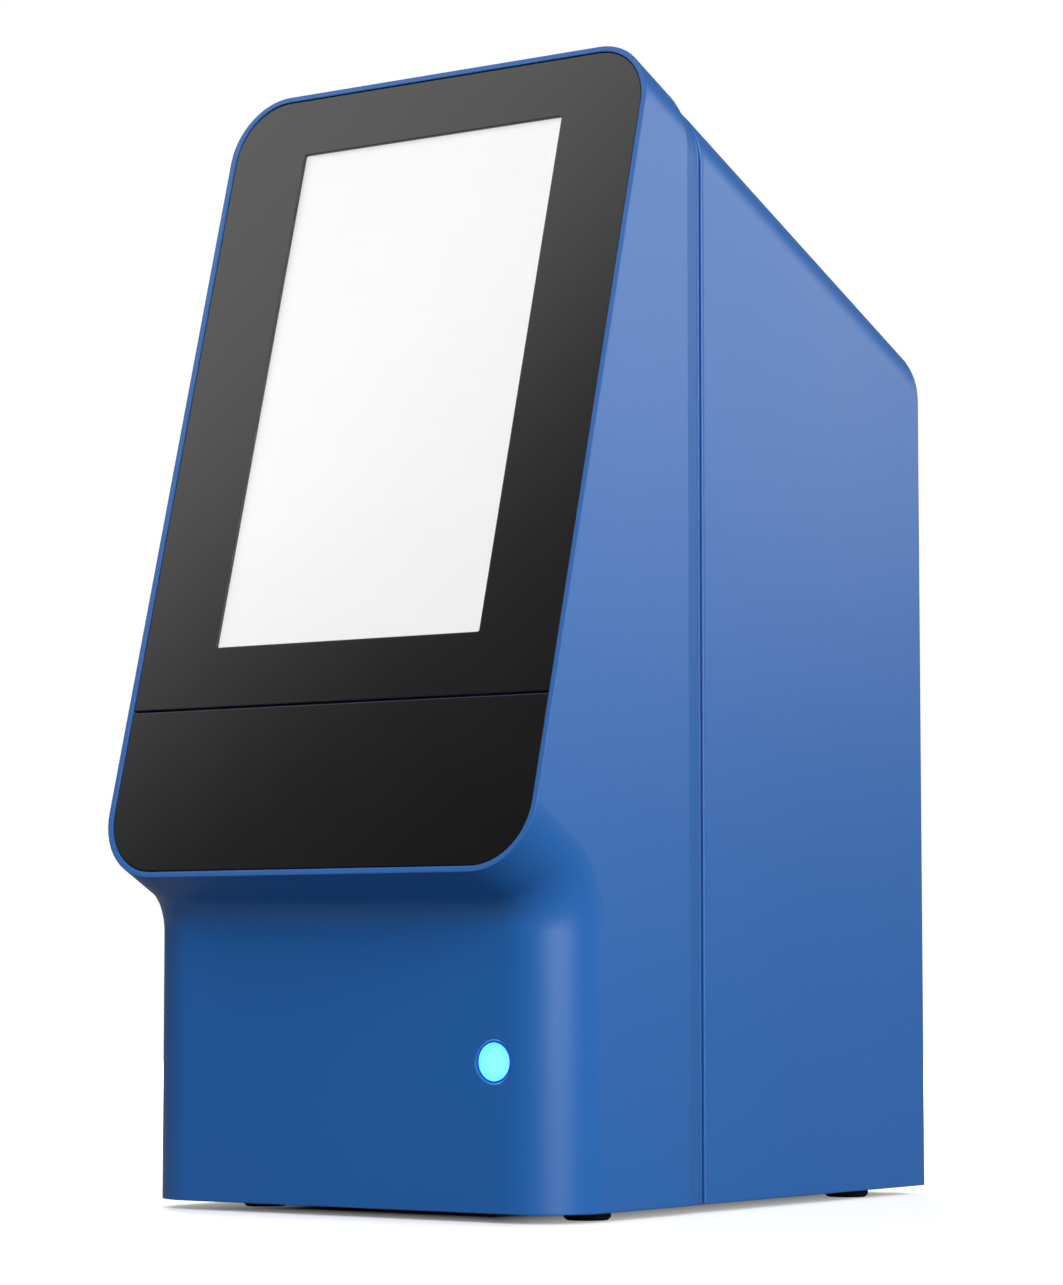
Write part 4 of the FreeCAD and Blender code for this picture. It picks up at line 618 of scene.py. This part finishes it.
def bar(name, start, radius, length, sides, axis="Z"):
    """A round bar from a start point along one axis."""
    turns = {"X": (0.0, math.pi / 2, 0.0), "Y": (-math.pi / 2, 0.0, 0.0), "Z": (0.0, 0.0, 0.0)}
    reach = [length / 2 * (letter == axis) for letter in "XYZ"]
    bpy.ops.object.select_all(action="DESELECT")
    bpy.ops.mesh.primitive_cylinder_add(
        vertices=sides, radius=radius * MM, depth=length * MM,
        location=metres(start) + metres(reach), rotation=turns[axis])
    piece = bpy.context.object
    piece.name = name
    return settle(piece)


def edit_faces(piece, direction=None):
    """Go into edit mode with the faces selected that look along a direction, or with all."""
    choose(piece)
    bpy.ops.object.mode_set(mode="EDIT")
    bpy.ops.mesh.select_mode(type="FACE")
    bpy.ops.mesh.select_all(action="DESELECT")
    bpy.ops.object.mode_set(mode="OBJECT")
    for face in piece.data.polygons:
        face.select = direction is None or face.normal.dot(Vector(direction)) > ALIGNED
    bpy.ops.object.mode_set(mode="EDIT")


def leave_edit():
    bpy.ops.object.mode_set(mode="OBJECT")


def inset(rim):
    """Draw the selected faces in, so that they leave a rim."""
    bpy.ops.mesh.inset(thickness=rim * MM)


def shift(step):
    """Move the selected faces by a step."""
    bpy.ops.transform.translate(value=metres(step))


def push(step):
    """Extrude the selected faces by a step."""
    bpy.ops.mesh.extrude_region_move(TRANSFORM_OT_translate={"value": metres(step)})


def lengthen(piece, direction, *steps):
    """Extrude one end of a piece by one step after another."""
    edit_faces(piece, direction)
    for step in steps:
        push(step)
    leave_edit()


def step_end(piece, direction, rim, height):
    """Raise one end of a piece inside a rim, or sink it where the height is below zero."""
    edit_faces(piece, direction)
    inset(rim)
    push(Vector(direction) * height)
    leave_edit()
    return piece


def soften(piece, width, segments=2):
    """Round a piece's sharp edges."""
    choose(piece)
    modifier = piece.modifiers.new("soft edges", "BEVEL")
    modifier.width = width * MM
    modifier.segments = segments
    modifier.limit_method = "ANGLE"
    bpy.ops.object.modifier_apply(modifier=modifier.name)
    return piece


def row_of(piece, count, step):
    """Repeat a piece along a step."""
    choose(piece)
    modifier = piece.modifiers.new("row", "ARRAY")
    modifier.count = count
    modifier.use_relative_offset = False
    modifier.use_constant_offset = True
    modifier.constant_offset_displace = metres(step)
    bpy.ops.object.modifier_apply(modifier=modifier.name)
    return piece


def copy_of(piece, step=(0, 0, 0)):
    """A copy with its own mesh, moved by a step."""
    choose(piece)
    bpy.ops.object.duplicate(linked=False)
    copy = bpy.context.object
    shift(step)
    return settle(copy)


def joined(name, pieces):
    """Several pieces as one, under a name."""
    choose(*pieces)
    if len(pieces) > 1:
        bpy.ops.object.join()
    whole = bpy.context.object
    whole.name = name
    return whole


def spread(name, piece, steps):
    """Copy a piece to several steps from its place, and join them all."""
    return joined(name, [piece] + [copy_of(piece, step) for step in steps])


def carve(piece, cutter):
    """Cut one piece's shape out of another, and take the cutter away."""
    choose(piece)
    modifier = piece.modifiers.new("recess", "BOOLEAN")
    modifier.operation = "DIFFERENCE"
    modifier.solver = "EXACT"
    modifier.object = cutter
    bpy.ops.object.modifier_apply(modifier=modifier.name)
    bpy.data.objects.remove(cutter)


def fit(piece, finish, body="chassis"):
    """Give a finished piece its finish and the body it moves with."""
    piece.data.materials.clear()
    piece.data.materials.append(FINISHES[finish])
    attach(piece, body)
    return piece


def cover_glass():
    """The touch glass with ground edges, its back a tenth of a millimetre clear of the display."""
    low = (-GLASS_HALF, GLASS_FRONT, GLASS_START)
    high = (GLASS_HALF, GLASS_BACK, GLASS_END)
    glass = soften(block("touch_glass", low, high), 0.25)
    glass.rotation_euler = (-FACE_LEAN, 0.0, 0.0)
    glass.location = (0.0, FACE_EDGE_Y, FACE_EDGE_Z)
    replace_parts(fit(settle(glass), "glass"), "touch_panel")


def screws(name, length, places, turn):
    """Countersunk screws with a cross recess, in place of the plain ones."""
    screw = bar("screw", (0, 0, SCREW_HEAD), SCREW_RADIUS, length - SCREW_HEAD, 24)
    edit_faces(screw, (0, 0, -1))
    push((0, 0, -SCREW_HEAD))
    wider = 1.0 + SCREW_HEAD / SCREW_RADIUS
    bpy.ops.transform.resize(value=(wider, wider, 1.0), center_override=(0.0, 0.0, 0.0))
    leave_edit()
    for wide, deep in ((RECESS_REACH, RECESS_HALF), (RECESS_HALF, RECESS_REACH)):
        carve(screw, block("recess", (-wide, -deep, -1), (wide, deep, RECESS_DEPTH)))
    copies = [screw] + [copy_of(screw) for _ in places[1:]]
    for copy, place in zip(copies, places):
        copy.rotation_euler = (turn, 0.0, 0.0)
        copy.location = metres(place)
        settle(copy)
    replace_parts(fit(joined(name + "_recessed", copies), "screw"), name)


def driven_screws():
    screws("floor_screws", 9.0, FLOOR_SCREWS, 0.0)
    screws("fan_screws", 17.6, FAN_SCREWS, math.pi / 2)


def network_jack():
    """Liner, eight bent contacts and two light windows of the network socket."""
    liner = block("jack_liner", (8.03, 88.4, 17.13), (19.97, 103.1, 24.07))
    fit(step_end(liner, (0, 1, 0), 0.3, -14.4), "socket")
    contact = block("jack_contacts", (10.23, 90.0, 23.2), (10.63, 101.2, 23.45))
    edit_faces(contact, (0, -1, 0))
    shift((0, 0, -3.6))
    leave_edit()
    fit(row_of(contact, 8, (1.02, 0, 0)), "gold")
    window = soften(block("jack_light_windows", (6.7, 103.0, 24.9), (9.7, 103.4, 26.5)), 0.12)
    fit(row_of(window, 2, (11.6, 0, 0)), "light window")


def usb_tongues():
    """A plastic tongue with four contacts in each of the two USB sockets."""
    tongue = block("usb_tongues", (-19.28, 90.3, 17.9), (-8.72, 102.3, 19.88))
    step_end(tongue, (0, 1, 0), 0.35, 0.25)
    fit(row_of(tongue, 2, USB_STEP), "socket")
    contact = soften(block("usb_contacts", (-18.0, 94.0, 17.72), (-17.0, 101.9, 17.95)), 0.06, 1)
    contacts = spread("usb_contacts", contact, [(step, 0, 0) for step in (2.5, 4.5, 7.0)])
    fit(row_of(contacts, 2, USB_STEP), "gold")


def power_inlet():
    """The sprung sleeve and the bright pin of the power inlet."""
    sleeve = bar("inlet_sleeve", (42, 94.25, 19.1), 3.07, 8.7, 40, "Y")
    fit(step_end(sleeve, (0, 1, 0), 0.3, -8.4), "tin")
    pin = bar("inlet_pin", (42, 94.3, 19.1), 1.03, 7.1, 24, "Y")
    fit(soften(pin, 0.35, 3), "tin")


def hub_fingers():
    """Three sprung fingers that centre the disc on the hub."""
    finger = soften(block("hub_fingers", (4.2, -50.9, 111.0), (5.85, -49.1, 113.8)), 0.45, 3)
    fingers = [finger]
    for turn in (1, 2):
        copy = copy_of(finger)
        bpy.ops.transform.rotate(
            value=turn * math.tau / 3, orient_axis="Z", center_override=metres(HUB_CENTRE))
        fingers.append(settle(copy))
    fit(joined("hub_fingers", fingers), "pin", "disc_hub")


def tear_teeth():
    """The row of teeth that a printed strip is torn on, along the edge of the tear bar."""
    tooth = block("tear_teeth", (-30.8, 45.6, -3.8), (-29.4, 46.45, -3.4))
    tip = metres((-30.1, 46.45, -3.6))
    edit_faces(tooth, (0, 1, 0))
    bpy.ops.transform.resize(value=(0.08, 1.0, 1.0), center_override=tip)
    leave_edit()
    row_of(tooth, 44, (1.4, 0, 0))
    tooth.rotation_euler = (-TOP_FALL, 0.0, 0.0)
    tooth.location = metres((0, TOP_EDGE_Y, TOP_EDGE_Z))
    fit(settle(tooth), "pin")


def lens_windows():
    """A domed lens in the mouth of each optics barrel."""
    for name, across in (("lamp_lens", -18), ("detector_lens", 24)):
        lens = bar(name, (across, -42, 120.9), 3.82, 1.4, 40)
        edit_faces(lens, (0, 0, -1))
        for rim, drop in ((0.9, 0.35), (1.4, 0.2)):
            inset(rim)
            shift((0, 0, -drop))
        leave_edit()
        fit(lens, "lens")


def flat_chip(name, low, size, leads, pitch):
    """A chip with bent leads along two of its sides, on the main board."""
    x, y = low
    wide, deep = size
    body = soften(block(name, (x, y, 13.9), (x + wide, y + deep, 15.6)), 0.18, 1)
    fit(step_end(body, (0, 0, 1), 0.4, 0.06), "chip")
    lead = block(name + "_leads", (x + 0.6, y - 0.9, 14.5), (x + 0.9, y + 0.1, 14.7))
    lengthen(lead, (0, -1, 0), (0, -0.3, -0.8), (0, -0.6, 0))
    far = copy_of(lead)
    bpy.ops.transform.mirror(
        constraint_axis=(False, True, False), center_override=metres((0, y + deep / 2, 0)))
    settle(far)
    edit_faces(far)
    bpy.ops.mesh.normals_make_consistent(inside=False)
    leave_edit()
    rows = row_of(joined(name + "_leads", [lead, far]), leads, (pitch, 0, 0))
    fit(rows, "tin")


def capacitors(name, first, steps, radius, height):
    """Electrolytic capacitors: bright cans, each in a dark sleeve."""
    can = bar(name + "_cans", first, radius, height, 28)
    step_end(can, (0, 0, 1), 0.25 * radius, -0.2)
    fit(spread(name + "_cans", soften(can, 0.25), steps), "can")
    sleeve = bar(name + "_sleeves", first, radius + 0.12, height - 0.35, 28)
    fit(spread(name + "_sleeves", soften(sleeve, 0.15, 1), steps), "sleeve")


def coin_cell():
    """The clock's battery in its round holder."""
    holder = bar("cell_holder", (-34, 52, SEAT), 11.4, 3.6, 48)
    fit(soften(step_end(holder, (0, 0, 1), 1.1, -2.8), 0.2, 1), "socket")
    cell = bar("coin_cell", (-34, 52, 14.4), 10.0, 2.6, 48)
    fit(soften(step_end(cell, (0, 0, 1), 0.5, 0.35), 0.2), "can")
    clip = block("cell_clip", (-36, 40, 17.05), (-32, 53, 17.4))
    lengthen(clip, (0, -1, 0), (0, -0.6, -3.4))
    fit(soften(clip, 0.12, 1), "tin")


def pin_header(name, low, count):
    """A shrouded connector with two rows of pins."""
    x, y = low
    shroud = block(name, (x, y, SEAT), (x + count * 2.0 + 2, y + 6, 20.0))
    step_end(shroud, (0, 0, 1), 0.7, -5.2)
    fit(soften(shroud, 0.12, 1), "white socket")
    pin = block(name + "_pins", (x + 1.75, y + 1.75, 14.6), (x + 2.25, y + 2.25, 19.2))
    rows = row_of(row_of(soften(pin, 0.12, 1), count, (2.0, 0, 0)), 2, (0, 2.0, 0))
    fit(rows, "gold")


def field_of(piece):
    """Three rows of five."""
    return row_of(row_of(piece, 5, (2.4, 0, 0)), 3, (0, 1.9, 0))


def small_parts():
    """Fields of small resistors and ceramic capacitors, each with two tinned ends."""
    for index, (x, y) in enumerate(SMALL_PART_FIELDS):
        part = soften(block("small_parts", (x + 0.3, y, SEAT), (x + 1.3, y + 0.8, 14.15)), 0.06, 1)
        fit(field_of(part), "resistor" if index % 2 else "ceramic")
        end = block("small_part_ends", (x, y - 0.02, SEAT), (x + 0.32, y + 0.82, 14.18))
        ends = spread("small_part_ends", end, [(1.28, 0, 0)])
        fit(field_of(ends), "tin")


def coils(first, steps):
    """Square power coils with a wound middle."""
    case = soften(block("coils", first, Vector(first) + Vector((7, 7, 4))), 0.7, 3)
    step_end(case, (0, 0, 1), 0.9, -0.3)
    fit(spread("coils", case, steps), "ferrite")


def fuse():
    """A glass fuse in two clips on the power board."""
    tube = bar("fuse_glass", (-56.4, -19, 31), 2.3, 18, 24, "Y")
    fit(step_end(tube, (0, 1, 0), 0.5, -17.4), "lens")
    cap = soften(bar("fuse_caps", (-56.4, -20.5, 31), 2.6, 4.5, 24, "Y"), 0.3)
    fit(spread("fuse_caps", cap, [FUSE_CAP_STEP]), "tin")
    clip = block("fuse_clips", (-60.4, -20, 28.1), (-55.6, -16.5, 28.5))
    clips = spread("fuse_clips", clip, [(0, 0, 5.4)])
    fit(spread("fuse_clips", clips, [FUSE_CAP_STEP]), "tin")
    wire = bar("fuse_wire", (-56.4, -17, 31), 0.12, 14, 8, "Y")
    fit(wire, "tin")


def transformer_tape():
    """Tape round the transformer's windings, and its two rows of pins."""
    tape = block("transformer_tape", (-56.2, -33.2, 40.5), (-44.6, -2.8, 61.5))
    fit(soften(tape, 1.4, 3), "tape")
    pins = bar("transformer_pins", (-60.6, -33.6, 39), 0.4, 3.2, 8, "X")
    fit(row_of(row_of(pins, 5, (0, 0, 6)), 2, (0, 31.2, 0)), "tin")


def furnish_boards():
    """Everything that stands on the main board and the power board."""
    flat_chip("network_chip", (6, 60), (9, 6), 8, 1.05)
    flat_chip("usb_chip", (-20, 62), (9, 6), 8, 1.05)
    flat_chip("driver_chip", (-12, 30), (12, 7), 10, 1.1)
    flat_chip("measuring_chip", (20, 26), (10, 6), 8, 1.15)
    square = [(11, 0, 0), (0, 11, 0), (11, 11, 0)]
    capacitors("board_capacitor", (34, 62, SEAT), square, 4.0, 10.0)
    line = [(7, 0, 0), (14, 0, 0), (21, 0, 0)]
    capacitors("small_capacitor", (-46, -10, SEAT), line, 2.5, 6.5)
    coils((22, 40, SEAT), [(11, 0, 0), (22, 0, 0)])
    coin_cell()
    pin_header("drawer_connector", (20, -32), 10)
    pin_header("screen_connector", (-14, -32), 12)
    small_parts()
    fuse()
    transformer_tape()


def make_floor():
    """A pale round floor that shows white where no shadow falls, with a painted shade under the
    body where its glow is taken away.
    """
    bpy.ops.object.select_all(action="DESELECT")
    bpy.ops.mesh.primitive_circle_add(vertices=96, radius=6.0, fill_type="NGON")
    floor = bpy.context.object
    floor.name = "floor"
    finish = Finish("pale floor")
    camera, glossy, through = finish.light_path()
    seen = camera + (glossy + through) * FLOOR_MIRRORED
    x, y, _ = finish.axes()
    away = finish.maths("SQRT", x * x + y * y)
    far = finish.ramp(away, FLOOR_NEAR, FLOOR_FAR, FLOOR_GLOW, 1.0)
    side = finish.maths("ABSOLUTE", x) - HALF_WIDTH
    end = finish.maths("ABSOLUTE", y) - HALF_DEPTH
    outside = finish.maths("MAXIMUM", side, end)
    # Painted shade: the floor's glow fades out under the body's outline
    outside_painted_shade = finish.ramp(outside, SHADE_INNER, SHADE_OUTER)
    floor.data.materials.append(finish.done({
        "Base Color": finish.blend(seen, shade(118, 118, 119), shade(228, 228, 229)),
        "Roughness": 0.8,
        "Emission Color": finish.blend(camera * far * outside_painted_shade, DARK, WHITE),
    }))


def add_softbox(name, place, size, power, roll):
    """A rectangular studio lamp at a place, turned to the middle of the analyzer."""
    bpy.ops.object.light_add(type="AREA", location=place)
    lamp = bpy.context.object
    lamp.name = name
    lamp.data.shape = "RECTANGLE"
    lamp.data.size, lamp.data.size_y = size
    lamp.data.energy = power
    lamp.rotation_mode = "QUATERNION"
    aim = (LAMP_AIM - Vector(place)).to_track_quat("-Z", "Y")
    lamp.rotation_quaternion = aim @ Quaternion((0.0, 0.0, 1.0), math.radians(roll))


def light_studio():
    """Soft lamps in a dim room, with a white backdrop that is held back in glossy reflections."""
    world = bpy.data.worlds.new("studio")
    bpy.context.scene.world = world
    world.use_nodes = True
    nodes = Nodes(world.node_tree)
    camera, glossy, through = nodes.light_path()
    direction = nodes.add("ShaderNodeTexCoord", output="Generated")
    dot = {"operation": "DOT_PRODUCT"}
    toward = nodes.add("ShaderNodeVectorMath", dot, [direction, VIEW_LINE], output="Value")
    sheen = nodes.ramp(toward, BACKDROP_EDGE, BACKDROP_FULL, ROOM_GLOW, SHEEN_BACKDROP)
    clear = through * (1.0 - glossy)
    diffuse = 1.0 - camera - glossy - clear
    strength = camera + clear + glossy * sheen + diffuse * AMBIENT
    background = nodes.add("ShaderNodeBackground", inputs=[(*WHITE, 1.0), strength])
    nodes.close(background, "ShaderNodeOutputWorld")
    for name, (place, size, power, roll) in SOFTBOXES.items():
        add_softbox(name, place, size, power, roll)


def place_camera():
    """The photograph's viewpoint: low, to the right of the front, looking slightly up."""
    bpy.ops.object.camera_add(location=VIEWPOINT)
    camera = bpy.context.object
    camera.name = "camera"
    camera.rotation_mode = "QUATERNION"
    camera.rotation_quaternion = Vector(VIEW_LINE).to_track_quat("-Z", "Y")
    camera.data.sensor_width = SENSOR_WIDTH
    camera.data.lens = FOCAL_LENGTH
    camera.data.clip_start = 0.01
    bpy.context.scene.camera = camera


place_camera()
dress_nodes()
cover_glass()
driven_screws()
network_jack()
usb_tongues()
power_inlet()
hub_fingers()
tear_teeth()
lens_windows()
furnish_boards()
make_floor()
light_studio()
bpy.context.scene.view_settings.view_transform = "Standard"
